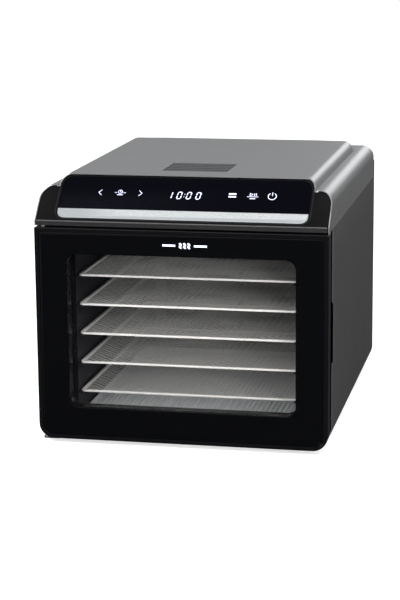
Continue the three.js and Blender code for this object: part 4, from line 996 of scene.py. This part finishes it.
class Stroke(Enum):
    """Outer strokes of a digit, as (left to right share, height share) of both ends."""

    TOP = ((0, 1), (1, 1))
    UPPER_RIGHT = ((1, 1), (1, 0.5))
    LOWER_RIGHT = ((1, 0.5), (1, 0))
    BOTTOM = ((0, 0), (1, 0))
    LOWER_LEFT = ((0, 0.5), (0, 0))
    UPPER_LEFT = ((0, 1), (0, 0.5))


DIGIT_STROKES = {
    "0": tuple(Stroke),
    "1": (Stroke.UPPER_RIGHT, Stroke.LOWER_RIGHT),
}


class Key(Enum):
    """Touch keys by their places across the console, in millimetres from its middle."""

    BACK = -100.5
    TIME = -76.5
    NEXT = -52.2
    LIST = 56.5
    START = 80.0
    POWER = 102.6


@dataclass
class Console:
    """Sloping touch console: dark glass over a brushed strip, with lit keys and a clock."""

    wardrobe: Wardrobe
    run_per_rise: float = 1.05
    band: float = 7.2
    side_margin: float = 25.5
    low: float = 3.9
    split: float = 17.55
    high: float = 63.7
    strip_radius: float = 9.0
    glass_radius: float = 12.0
    thickness: float = 1.5
    seam: float = 0.15
    seam_radius: float = 0.3
    edge: float = 0.5
    key_level: float = 41.3
    digit_width: float = 4.5
    digit_height: float = 9.4
    digit_pitch: float = 11.2
    digit_start: float = -20.0
    colon_gap: float = 3.1
    colon_radius: float = 0.5
    italic: float = 0.16
    stroke: float = 1.1
    stroke_gap: float = 0.28
    stroke_tip: float = 0.5
    digit_drop: float = 1.8
    print_low: float = 0.01
    print_high: float = 0.1
    bezel_gap: float = 2.8
    bezel_drop: float = 1.7
    bezel_short: float = 9.0
    bead_radius: float = 0.75
    bead_drop: float = 1.3
    bead_sink: float = 0.3
    band_drop: float = 2.1
    band_inset: float = 0.4
    skin: tuple[float, float] = (0.5, -0.25)

    def __post_init__(self) -> None:
        """Sets the plane of the slope from the fascia's box."""
        box = Extent.of("control_fascia")
        self.fascia = box
        length = math.hypot(1, self.run_per_rise)
        self.origin = np.array([0, box.y0, box.z0 + self.band])
        self.up = np.array([0, self.run_per_rise, 1]) / length
        self.out = np.array([0, -1, self.run_per_rise]) / length
        self.half = Extent.of("hood").x1 - self.side_margin

    def place(self, points: Array) -> Array:
        """Points (across, up the slope, out of it) put on the slope."""
        across = points[..., :1] * (1, 0, 0)
        return self.origin + across + points[..., 1:2] * self.up + points[..., 2:3] * self.out

    def plate(self, low: float, high: float, low_radius: float, high_radius: float) -> Shell:
        """A flat plate with softened front edges, flush with the slope.

        Args:
            low: lower edge, up the slope.
            high: upper edge.
            low_radius: radius of its lower corners.
            high_radius: radius of its upper corners.

        Returns:
            The plate's shell.
        """
        def loop(inset: float, level: float) -> Array:
            """Outline of the plate, set inward, at a level out of the slope."""
            edge = rounded(
                inset - self.half, self.half - inset, low + inset, high - inset,
                low_radius - inset, high_radius - inset, 14)
            return self.place(plan_view(edge, level))

        soft = [loop(inset, -drop) for inset, drop in edge_round(self.edge)]
        return Shell().body(np.stack([loop(0, -self.thickness), *soft]))

    def dash(self, start: Sequence[float], stop: Sequence[float]) -> Array:
        """One stroke of a digit as a long six-sided shape.

        Args:
            start: one end of the stroke's middle line.
            stop: its other end.

        Returns:
            The six corners.
        """
        a, b = np.asarray(start, float), np.asarray(stop, float)
        along = (b - a) / np.linalg.norm(b - a)
        side = np.array([-along[1], along[0]]) * self.stroke / 2
        gap, tip = along * (self.stroke * self.stroke_gap), along * (self.stroke * self.stroke_tip)
        a, b = a + gap, b - gap
        return np.stack([a, a + tip - side, b - tip - side, b, b - tip + side, a + tip + side])

    def slanted(self, points: Array) -> Array:
        """Points of the clock on the slope, shifted across by italic times their height.

        Args:
            points: points (across, up from the digits' foot, out of the slope).

        Returns:
            Their places in space.
        """
        across, up, out = np.moveaxis(points, -1, 0)
        foot = self.key_level - self.digit_drop - self.digit_height / 2
        return self.place(np.stack([across + up * self.italic, up + foot, out], axis=-1))

    def clock(self) -> Shell:
        """The time 10:00 in slanted digits made of strokes, with a colon.

        Returns:
            The shell of all digits.
        """
        shell = Shell()
        level = self.print_low, self.print_high
        starts = self.digit_start + self.digit_pitch * np.arange(4)
        size = np.array([self.digit_width, self.digit_height])
        for start, digit in zip(starts, "1000"):
            for stroke in DIGIT_STROKES[digit]:
                ends = [np.array(end) * size + (start, 0) for end in stroke.value]
                shell.patch(self.dash(*ends), *level, self.slanted)
        for share in (0.28, 0.68):
            centre = (starts[2] - self.colon_gap, self.digit_height * share)
            shell.patch(arc(centre, self.colon_radius, 0, 330, 11), *level, self.slanted)
        return shell

    def keys(self) -> Shell:
        """Signs of the touch keys: arrows, a clock, two bars, play and pause, and power.

        Returns:
            The shell of all signs.
        """
        shell = Shell()

        def line(key: Key, width: float, points: Sequence[Sequence[float]], closed: bool = False) -> None:
            """Adds a line through points (across, up) of one key."""
            path = np.asarray(points, float) + (key.value, self.key_level)
            shell.ribbon(path, width, self.print_low, self.print_high, self.place, closed)

        def bar(key: Key, width: float, start: Sequence[float], stop: Sequence[float]) -> None:
            """Adds a straight line between two points of one key."""
            line(key, width, np.linspace(start, stop, 3))

        for key, way in ((Key.BACK, -1), (Key.NEXT, 1)):
            line(key, 0.65, [
                [-1.9 * way, 3.8], [1.5 * way, 0.3], [1.7 * way, 0], [1.5 * way, -0.3], [-1.9 * way, -3.8]])
        line(Key.TIME, 0.6, arc((0, 1.4), 2.5, 0, 350, 35), True)
        line(Key.TIME, 0.6, [[0, 3.2], [0, 1.4], [0.1, 1.3], [1.3, 0.7]])
        for side in (-5.2, 5.2):
            bar(Key.TIME, 0.6, (side - 1.3, 0.2), (side + 1.3, 0.2))
        bar(Key.TIME, 0.8, (-3.4, -2.9), (3.4, -2.9))
        for rise in (2.1, -1.9):
            bar(Key.LIST, 1.9, (-4.6, rise), (4.2, rise))
        triangle = [[-3.4, 3.6], [-3.4, 0.2], [-3.3, 0.1], [0.2, 1.8], [0.2, 2.0], [-3.3, 3.7]]
        line(Key.START, 0.6, triangle, True)
        for across in (1.9, 3.9):
            bar(Key.START, 0.7, (across, 0.2), (across, 3.7))
        bar(Key.START, 0.6, (-6.6, -1.3), (6.6, -1.3))
        bar(Key.START, 0.9, (-3.2, -4.0), (3.2, -4.0))
        line(Key.POWER, 0.75, arc((0, 0), 4.7, 122, 418, 36))
        bar(Key.POWER, 0.75, (0, 5.6), (0, 0.6))
        return shell

    def bead(self) -> Shell:
        """Rounded ridge across the upright band, just under the slope.

        Returns:
            The ridge's shell.
        """
        box = self.fascia
        ridge = arc((box.y0 + self.bead_sink, self.origin[2] - self.bead_drop), self.bead_radius, 75, 285, 10)
        return Shell().body(along_x(ridge, box.x0 + 0.2, box.x1 - 0.2))

    def bezel(self) -> Shell:
        """Slim raised line that runs down both sides of the console and round under the strip.

        Returns:
            The line's shell.
        """
        side, foot = self.half + self.bezel_gap, self.low - self.bezel_drop
        radius = self.strip_radius + self.bezel_gap
        path = np.concatenate([
            np.linspace((-side, self.high - self.bezel_short), (-side, foot + radius + 0.5), 4),
            arc((radius - side, foot + radius), radius, 180, 270, 14),
            np.linspace((-side / 2, foot), (0, foot), 3)])
        return Shell().ribbon(mirrored(path), 1.0, -0.2, 0.2, self.place)

    def lower_band(self) -> Shell:
        """Thin textured skin on the upright band under the slope.

        Returns:
            The skin's shell.
        """
        box = self.fascia
        x0, x1 = box.x0 + self.band_inset, box.x1 - self.band_inset
        foot, head = box.z0 + 0.6, self.origin[2] - self.band_drop
        edge = np.array([[x0, foot], [x1, foot], [x1, head], [x0, head]])
        return Shell().body(np.stack([front_view(edge, box.y0 + depth) for depth in self.skin]))

    def build(self) -> None:
        """Builds the glass, the strip, the lit marks, the band with its ridge and the raised line."""
        add = self.wardrobe.add
        glass = self.plate(self.split + self.seam, self.high, self.seam_radius, self.glass_radius)
        add(glass.make("console_glass"), "control_glass", "housing", "control_glass")
        strip = self.plate(self.low, self.split - self.seam, self.strip_radius, self.seam_radius)
        add(strip.make("console_strip"), "strip_aluminium", "housing", "trim_strip")
        add(self.clock().make("clock_digits"), "display_light", "housing")
        add(self.keys().make("key_symbols"), "display_light", "housing")
        add(self.bead().make("fascia_ridge"), "panel_paint", "housing")
        add(self.lower_band().make("fascia_band"), "dark_plastic", "housing")
        add(self.bezel().make("console_bezel"), "dark_plastic", "housing")


# ------------------------------------------------------------------ door

@dataclass
class Door:
    """Swing door: a slim moulded rim, a glass front with a black border and a clear window."""

    wardrobe: Wardrobe
    corner: float = 18.0
    top_corner: float = 1.8
    lip: float = 5.2
    edge: float = 1.3
    gap: float = 0.3
    window_side: float = 37.5
    window_low: float = 39.5
    window_high: float = 30.5
    window_radius: float = 12.0
    back_chamfer: float = 0.6
    lip_chamfer: float = 0.25
    seat_chamfer: float = 0.5
    window_chamfer: float = 0.4
    glass_edge: float = 0.7
    pane_gap: float = 0.05
    pane_grow: float = 6.0
    mark_drop: float = 17.2
    mark_shift: float = 6.5
    mark_height: float = 0.12
    steps: int = 14

    def __post_init__(self) -> None:
        """Reads the boxes of the door and its glass."""
        self.box = Extent.of("door_frame")
        self.glass = Extent.of("door_glass")

    def outer(self, inset: float, y: float) -> Array:
        """Outline of the door, set inward, at a depth."""
        b = self.box
        return front_view(rounded(
            b.x0 + inset, b.x1 - inset, b.z0 + inset, b.z1 - inset,
            self.corner - inset, self.top_corner - inset, self.steps), y)

    def window(self, grow: float, y: float) -> Array:
        """Outline of the window, grown outward, at a depth."""
        b, radius = self.box, self.window_radius + grow
        return front_view(rounded(
            b.x0 + self.window_side - grow, b.x1 - self.window_side + grow,
            b.z0 + self.window_low - grow, b.z1 - self.window_high + grow, radius, radius, self.steps), y)

    def rim(self) -> Shell:
        """Moulded rim: rounded outside, a seat for the glass and an opening for the window.

        Returns:
            The rim's shell.
        """
        b, seat, lip = self.box, self.glass.y1 + self.gap, self.lip
        front = [self.outer(inset, b.y0 + drop) for inset, drop in edge_round(self.edge, 5)]
        return Shell().ring(np.stack([
            self.outer(self.back_chamfer, b.y1), self.outer(0, b.y1 - self.back_chamfer), *front,
            self.outer(lip - self.lip_chamfer, b.y0), self.outer(lip, b.y0 + self.lip_chamfer),
            self.outer(lip, seat), self.window(self.seat_chamfer, seat),
            self.window(0, seat + self.seat_chamfer), self.window(0, b.y1 - self.window_chamfer),
            self.window(self.window_chamfer, b.y1)]))

    def border(self) -> Shell:
        """Black border of the glass, from its softened edge over flat loops to the window.

        Returns:
            The border's shell.
        """
        g, inset = self.glass, self.lip + self.gap
        soft = [self.outer(inset + cut, g.y0 + drop) for cut, drop in edge_round(self.glass_edge)]
        flat = [self.outer(inset + way, g.y0) for way in (2, 4)]
        inner = [self.window(way, g.y0) for way in (4, 2, 0.5)]
        cut = [self.window(0.25, g.y0 + 0.08), self.window(self.pane_gap, g.y0 + 0.3)]
        return Shell().ring(np.stack([
            self.outer(inset, g.y1), *soft, *flat, *inner, *cut, self.window(self.pane_gap, g.y1)]))

    def pane(self, y0: float, y1: float, grow: float) -> Shell:
        """A clear sheet of glass that fills the window."""
        return Shell().body(np.stack([self.window(grow, y0), self.window(grow, y1)]))

    def mark(self) -> Shell:
        """Three rising heat waves between two short bars on the front of the glass.

        A wave's middle line is x = middle + 0.9 sin(1.5 z).

        Returns:
            The mark's shell.
        """
        shell = Shell()
        level = self.box.z1 - self.mark_drop

        def place(points: Array) -> Array:
            """Points (x, z, height) put on the front of the glass."""
            return front_view(points, self.glass.y0 - points[..., 2])

        rise = np.linspace(-3.2, 3.2, 15)
        for middle in (-5.0, 0.0, 5.0):
            wave = np.stack([middle + self.mark_shift + 0.9 * np.sin(rise * 1.5), level + rise], axis=1)
            shell.ribbon(wave, 1.9, 0.0, self.mark_height, place)
        for side in (-1, 1):
            bar = np.stack([self.mark_shift + side * np.array([11.0, 18.0, 26.0]), np.full(3, level)], axis=1)
            shell.ribbon(bar, 2.2, 0.0, self.mark_height, place)
        return shell

    def build(self) -> None:
        """Builds the rim, the glass and the printed mark, all on the door's body."""
        add = self.wardrobe.add
        add(self.rim().make("door_rim"), "door_black", "door", "door_frame")
        add(self.border().make("glass_border"), "door_glass", "door", "door_glass")
        add(self.pane(self.glass.y0, self.glass.y1, -0.02).make("window_glass"), "clear_glass", "door")
        pane = Extent.of("inner_pane")
        inner = self.pane(pane.y0, pane.y1, self.pane_grow)
        add(inner.make("inner_glass"), "clear_glass", "door", "inner_pane")
        # The printed mark takes the glowing display finish: its glow is painted light, since the print is no
        # lamp.
        add(self.mark().make("door_mark"), "display_light", "door")


# ------------------------------------------------------------------ body

@dataclass
class SideWall:
    """Painted side sheet: an upright wall, a round lower corner and a flange under the body."""

    wardrobe: Wardrobe
    node: str
    sign: int
    notched: bool
    wall: float = 1.2
    corner: float = 18.0
    flange: float = 32.0
    notch_depth: float = 12.0
    notch_low: float = 96.0
    notch_high: float = 168.0
    return_width: float = 12.0
    first_level: float = 40.0
    first_station: float = 60.0

    def rows(self) -> tuple[Array, Array]:
        """Section from the flange round the corner to the seam, carried along Y with a rear return.

        Returns:
            The points, and which cells are kept: the finger notch is left out.
        """
        b, r = Extent.of(self.node), self.corner
        outer = max(abs(b.x0), abs(b.x1))
        notch = b.z0 + self.notch_low, b.z0 + self.notch_high
        levels = np.sort(np.concatenate([notch, np.linspace(b.z0 + self.first_level, b.z1, 6)]))
        wall = np.stack([np.full(len(levels), outer), levels], axis=1)
        wall[-1] = (outer, b.z1 - 0.6)
        section = np.concatenate([
            [[outer - self.flange, b.z0]], arc((outer - r, b.z0 + r), r, -90, 0, 18), wall,
            [[outer - 0.15, b.z1 - 0.2], [outer - 0.5, b.z1]]])
        y = np.concatenate([
            [b.y0, b.y0 + 0.4, b.y0 + self.notch_depth],
            np.linspace(b.y0 + self.first_station, b.y1 - 8, 6), [b.y1 - 1.2, b.y1 - 0.3]])
        rows = front_view(np.broadcast_to(section, (len(y), *section.shape)), y[:, None])
        inward = section - (self.return_width, 0) * (section[:, :1] > outer - 1)
        back = np.stack([front_view(edge, b.y1) for edge in (section - (0.4, 0), inward)])
        rows = np.concatenate([rows, back])
        middle = (rows[:-1, :-1] + rows[1:, 1:]) / 2
        cut = (middle[..., 1] < b.y0 + self.notch_depth) & (middle[..., 0] > outer - 1)
        cut &= (middle[..., 2] > notch[0]) & (middle[..., 2] < notch[1])
        return rows * (self.sign, 1, 1), ~cut if self.notched else np.ones(cut.shape, bool)

    def build(self) -> None:
        """Builds the sheet and gives it its thickness."""
        rows, keep = self.rows()
        piece = Shell().grid(rows, keep=keep).make(self.node + "_sheet", wall=self.wall)
        self.wardrobe.add(piece, "panel_paint", "housing", self.node)


@dataclass
class Foot:
    """Turned rubber foot with a rounded edge and a ring in its sole."""

    wardrobe: Wardrobe
    node: str
    sole: float = 8.5
    groove: float = 4.5

    def build(self) -> None:
        """Builds the foot as a turned profile."""
        b = Extent.of(self.node)
        radius, sole, groove = b.reach[0], self.sole, self.groove
        under = np.array([
            [0.01, 0.5], [groove - 1, 0.5], [groove - 0.6, 0], [sole - 2, 0], [sole - 1.6, 0.4],
            [sole - 1.2, 0], [sole, 0], [sole + 0.7, 0.3], [radius - 1, 1.1]])
        over = np.array([[radius, b.z1 - 1], [radius - 0.3, b.z1 - 0.3], [radius - 1, b.z1], [0.01, b.z1]])
        piece = Shell().lathe(np.concatenate([under, over]), b.middle).make(self.node + "_pad")
        self.wardrobe.add(piece, "foot_rubber", "housing", self.node)


# ------------------------------------------------------------------ trays

@dataclass
class Tray:
    """Woven wire tray in a folded steel rim."""

    wardrobe: Wardrobe
    node: str
    rim: float = 4.0
    pitch: float = 6.0
    wire: float = 0.3
    weave: float = 0.24
    level: float = 0.9
    tuck: float = 0.8
    corner: float = 6.0
    soft: float = 0.7
    near: float = 0.2

    def build(self) -> None:
        """Builds the rim as rounded loops and the mesh as slanting wires that end in the rim."""
        b, soft, near = Extent.of(self.node), self.soft, self.near
        outer = [
            (soft, b.z0), (near, b.z0 + near), (0, b.z0 + soft),
            (0, b.z1 - soft), (near, b.z1 - near), (soft, b.z1)]
        inner = [(self.rim - inset, level) for inset, level in outer[::-1]]
        rim = Shell().ring(np.stack([
            b.plan(inset, level, self.corner - inset, 8) for inset, level in outer + inner]))
        centre, reach = np.array([*b.middle, b.z0 + self.level]), b.reach - self.tuck
        shell = Shell().weave(centre, reach, self.pitch, self.wire, self.weave)
        self.wardrobe.add(shell.make(self.node + "_mesh"), "tray_steel", self.node, self.node)
        self.wardrobe.add(rim.make(self.node + "_rim"), "bright_steel", self.node)


@dataclass
class DripTray:
    """Pressed tray under the mesh trays, with ribs from front to back."""

    wardrobe: Wardrobe
    pitch: float = 6.0
    rib: float = 2.3
    wall: float = 0.8
    floor_gap: float = 0.1
    end_lip: float = 4.6
    fade: float = 9.0
    side_fade: float = 4.0
    side_flat: float = 4.0
    end_flat: float = 5.0
    wall_width: float = 2.0
    wall_run: float = 1.4

    @staticmethod
    def spread(half: float, steps: int) -> Array:
        """Places from -half to half in equal steps, with closer ones at both ends."""
        near = np.array([0, 0.4, 1.2, 2])
        return np.concatenate([near - half, np.linspace(3 - half, half - 3, steps), half - near[::-1]])

    def build(self) -> None:
        """Builds the tray as a height field.

        z = floor + rib (0.5 + 0.5 cos(2 pi x / pitch)) e(x, y) + side wall + end lip, where e
        falls to 0 near the rim and the walls rise over the last two millimetres.
        """
        b = Extent.of("drip_tray")
        half, depth = b.reach
        across, along = np.meshgrid(self.spread(half, 345), self.spread(depth, 60))
        side, end = half - np.abs(across), depth - np.abs(along)
        fade = np.clip((side - self.side_flat) / self.side_fade, 0, 1)
        fade = fade * np.clip((end - self.end_flat) / self.fade, 0, 1)
        fade = fade * fade * (3 - 2 * fade)
        ribs = self.rib * (0.5 + 0.5 * np.cos(2 * np.pi * across / self.pitch)) * fade
        floor = b.z0 + self.wall + self.floor_gap
        rise = np.clip((self.wall_width - side) / self.wall_run, 0, 1) ** 2 * (b.z1 - floor)
        lip = np.clip((self.wall_width - end) / self.wall_run, 0, 1) ** 2 * self.end_lip
        level = np.minimum(floor + np.maximum(ribs, np.maximum(rise, lip)), b.z1)
        rows = np.stack([across + b.middle[0], along + b.middle[1], level], axis=-1)
        piece = Shell().grid(rows).make("drip_tray_pressing", wall=self.wall, crease=60.0)
        self.wardrobe.add(piece, "tray_aluminium", "drip_tray", "drip_tray")


# ------------------------------------------------------------------ studio

@dataclass(frozen=True)
class Softbox:
    """A square studio lamp that points at the object. Places are in metres."""

    name: str
    place: tuple[float, float, float]
    target: tuple[float, float, float]
    size: tuple[float, float]
    power: float

    def build(self) -> None:
        """Adds the lamp, turned so that it shines toward its target."""
        lamp = bpy.data.lights.new(self.name, "AREA")
        lamp.shape, lamp.size, lamp.size_y = "RECTANGLE", *self.size
        lamp.energy = self.power
        stand = bpy.data.objects.new(self.name, lamp)
        stand.location = self.place
        aim = Vector(self.target) - Vector(self.place)
        stand.rotation_euler = aim.to_track_quat("-Z", "Y").to_euler()
        stand.visible_camera = False
        bpy.context.scene.collection.objects.link(stand)


@dataclass
class Studio:
    """Camera, floor, lamps and the pale surroundings. The lens and the sensor are in millimetres."""

    azimuth: float = 11.88
    elevation: float = 12.33
    distance: float = 2.342
    roll: float = -0.52
    target: tuple[float, float, float] = (-0.0233, 0.0, 0.1301)
    lens: float = 110.1
    sensor: float = 36.0
    floor_size: float = 12.0
    floor_glow: float = 0.7
    seen_white: float = 1.0
    sky_above: float = 0.42
    sky_below: float = 0.06
    lamps: tuple[Softbox, ...] = field(default_factory=lambda: (
        Softbox("rim_softbox", (0.42, 3.0, 0.98), (0.1, 0.0, 0.3), (0.8, 0.8), 6.0),
        Softbox("key_softbox", (1.2, -1.6, 1.9), (0.0, 0.0, 0.2), (1.2, 1.2), 20.0),
        Softbox("front_softbox", (-0.4, -2.0, 1.9), (0.0, 0.0, 0.1), (2.0, 1.2), 66.0),
        Softbox("low_softbox", (1.3, -2.2, 0.6), (0.0, 0.0, 0.1), (0.8, 0.5), 30.0),
        Softbox("left_softbox", (-2.4, 0.8, 1.4), (0.0, 0.0, 0.2), (1.2, 1.2), 10.0),
    ))

    def camera(self) -> None:
        """Puts the camera at its angle, looking at the target with a slight roll."""
        yaw, pitch, roll = (math.radians(v) for v in (self.azimuth, self.elevation, self.roll))
        flat = math.cos(pitch)
        ahead = Vector((-math.sin(yaw) * flat, math.cos(yaw) * flat, -math.sin(pitch)))
        level = Vector((math.cos(yaw), math.sin(yaw), 0.0))
        up = level.cross(ahead)
        right = math.cos(roll) * level + math.sin(roll) * up
        top = math.cos(roll) * up - math.sin(roll) * level
        lens = bpy.data.cameras.new("view")
        lens.lens, lens.sensor_fit = self.lens, "VERTICAL"
        lens.sensor_height = self.sensor
        holder = bpy.data.objects.new("view", lens)
        place = Vector(self.target) - self.distance * ahead
        turn = Matrix((right, top, -ahead)).transposed().to_4x4()
        holder.matrix_world = Matrix.Translation(place) @ turn
        bpy.context.scene.collection.objects.link(holder)
        bpy.context.scene.camera = holder

    def floor(self) -> None:
        """Lays a plain pale floor with a soft, faint mottle."""
        half = self.floor_size / 2 / MM
        corner = np.array([[-half, -half], [half, -half], [half, half], [-half, half]])
        sheet = Shell().cap(plan_view(corner, 0.0)).make("floor")
        graph = Graph("floor")
        tone = graph.mix(graph.noise(3.0), (0.86, 0.86, 0.86, 1.0), (0.9, 0.9, 0.9, 1.0))
        shader = graph.node("ShaderNodeBsdfPrincipled", inputs={
            "Base Color": tone, "Roughness": 0.9, "Emission Color": tone,
            "Emission Strength": self.floor_glow})
        sheet.data.materials.append(graph.finish(shader))
        sheet.visible_glossy = False

    def surroundings(self) -> None:
        """Fills the space with white to look at, and with softer light that is dimmer from below.

        The light's strength goes smoothly from below to above as the direction's height
        goes from -0.25 to 0.25.
        """
        world = bpy.data.worlds.new("studio")
        world.use_nodes = True
        tree = world.node_tree
        tree.nodes.clear()
        kinds = (
            "Background", "Background", "LightPath", "MixShader", "OutputWorld", "TexCoord", "SeparateXYZ",
            "MapRange")
        seen, felt, ray, mix, out, where, split, rise = (
            tree.nodes.new("ShaderNode" + kind) for kind in kinds)
        seen.inputs["Strength"].default_value = self.seen_white
        for sky in (seen, felt):
            sky.inputs["Color"].default_value = (1.0, 1.0, 1.0, 1.0)
        rise.interpolation_type = "SMOOTHSTEP"
        limits = {"From Min": -0.25, "From Max": 0.25, "To Min": self.sky_below, "To Max": self.sky_above}
        for name, value in limits.items():
            rise.inputs[name].default_value = value
        for start, stop in (
                (where.outputs["Generated"], split.inputs[0]), (split.outputs["Z"], rise.inputs["Value"]),
                (rise.outputs[0], felt.inputs["Strength"]), (ray.outputs["Is Camera Ray"], mix.inputs[0]),
                (felt.outputs[0], mix.inputs[1]), (seen.outputs[0], mix.inputs[2]),
                (mix.outputs[0], out.inputs["Surface"])):
            tree.links.new(start, stop)
        scene = bpy.context.scene
        scene.world = world
        scene.view_settings.view_transform = "Standard"

    def build(self) -> None:
        """Sets up the whole studio."""
        self.camera()
        self.floor()
        self.surroundings()
        for lamp in self.lamps:
            lamp.build()


def main() -> None:
    """Builds every sub-assembly in order."""
    logging.basicConfig(level=logging.INFO, format="%(name)s: %(message)s")
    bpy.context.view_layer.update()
    wardrobe = Wardrobe()
    wardrobe.dress_frame()
    Hood(wardrobe).build()
    Vent(wardrobe).build()
    Console(wardrobe).build()
    Door(wardrobe).build()
    SideWall(wardrobe, "right_side_panel", 1, True).build()
    SideWall(wardrobe, "left_side_panel", -1, False).build()
    for end in ("front", "rear"):
        for side in ("left", "right"):
            Foot(wardrobe, f"foot_{end}_{side}").build()
    for number in range(1, 6):
        Tray(wardrobe, f"tray_{number}").build()
    DripTray(wardrobe).build()
    Studio().build()


if __name__ == "__main__":
    main()
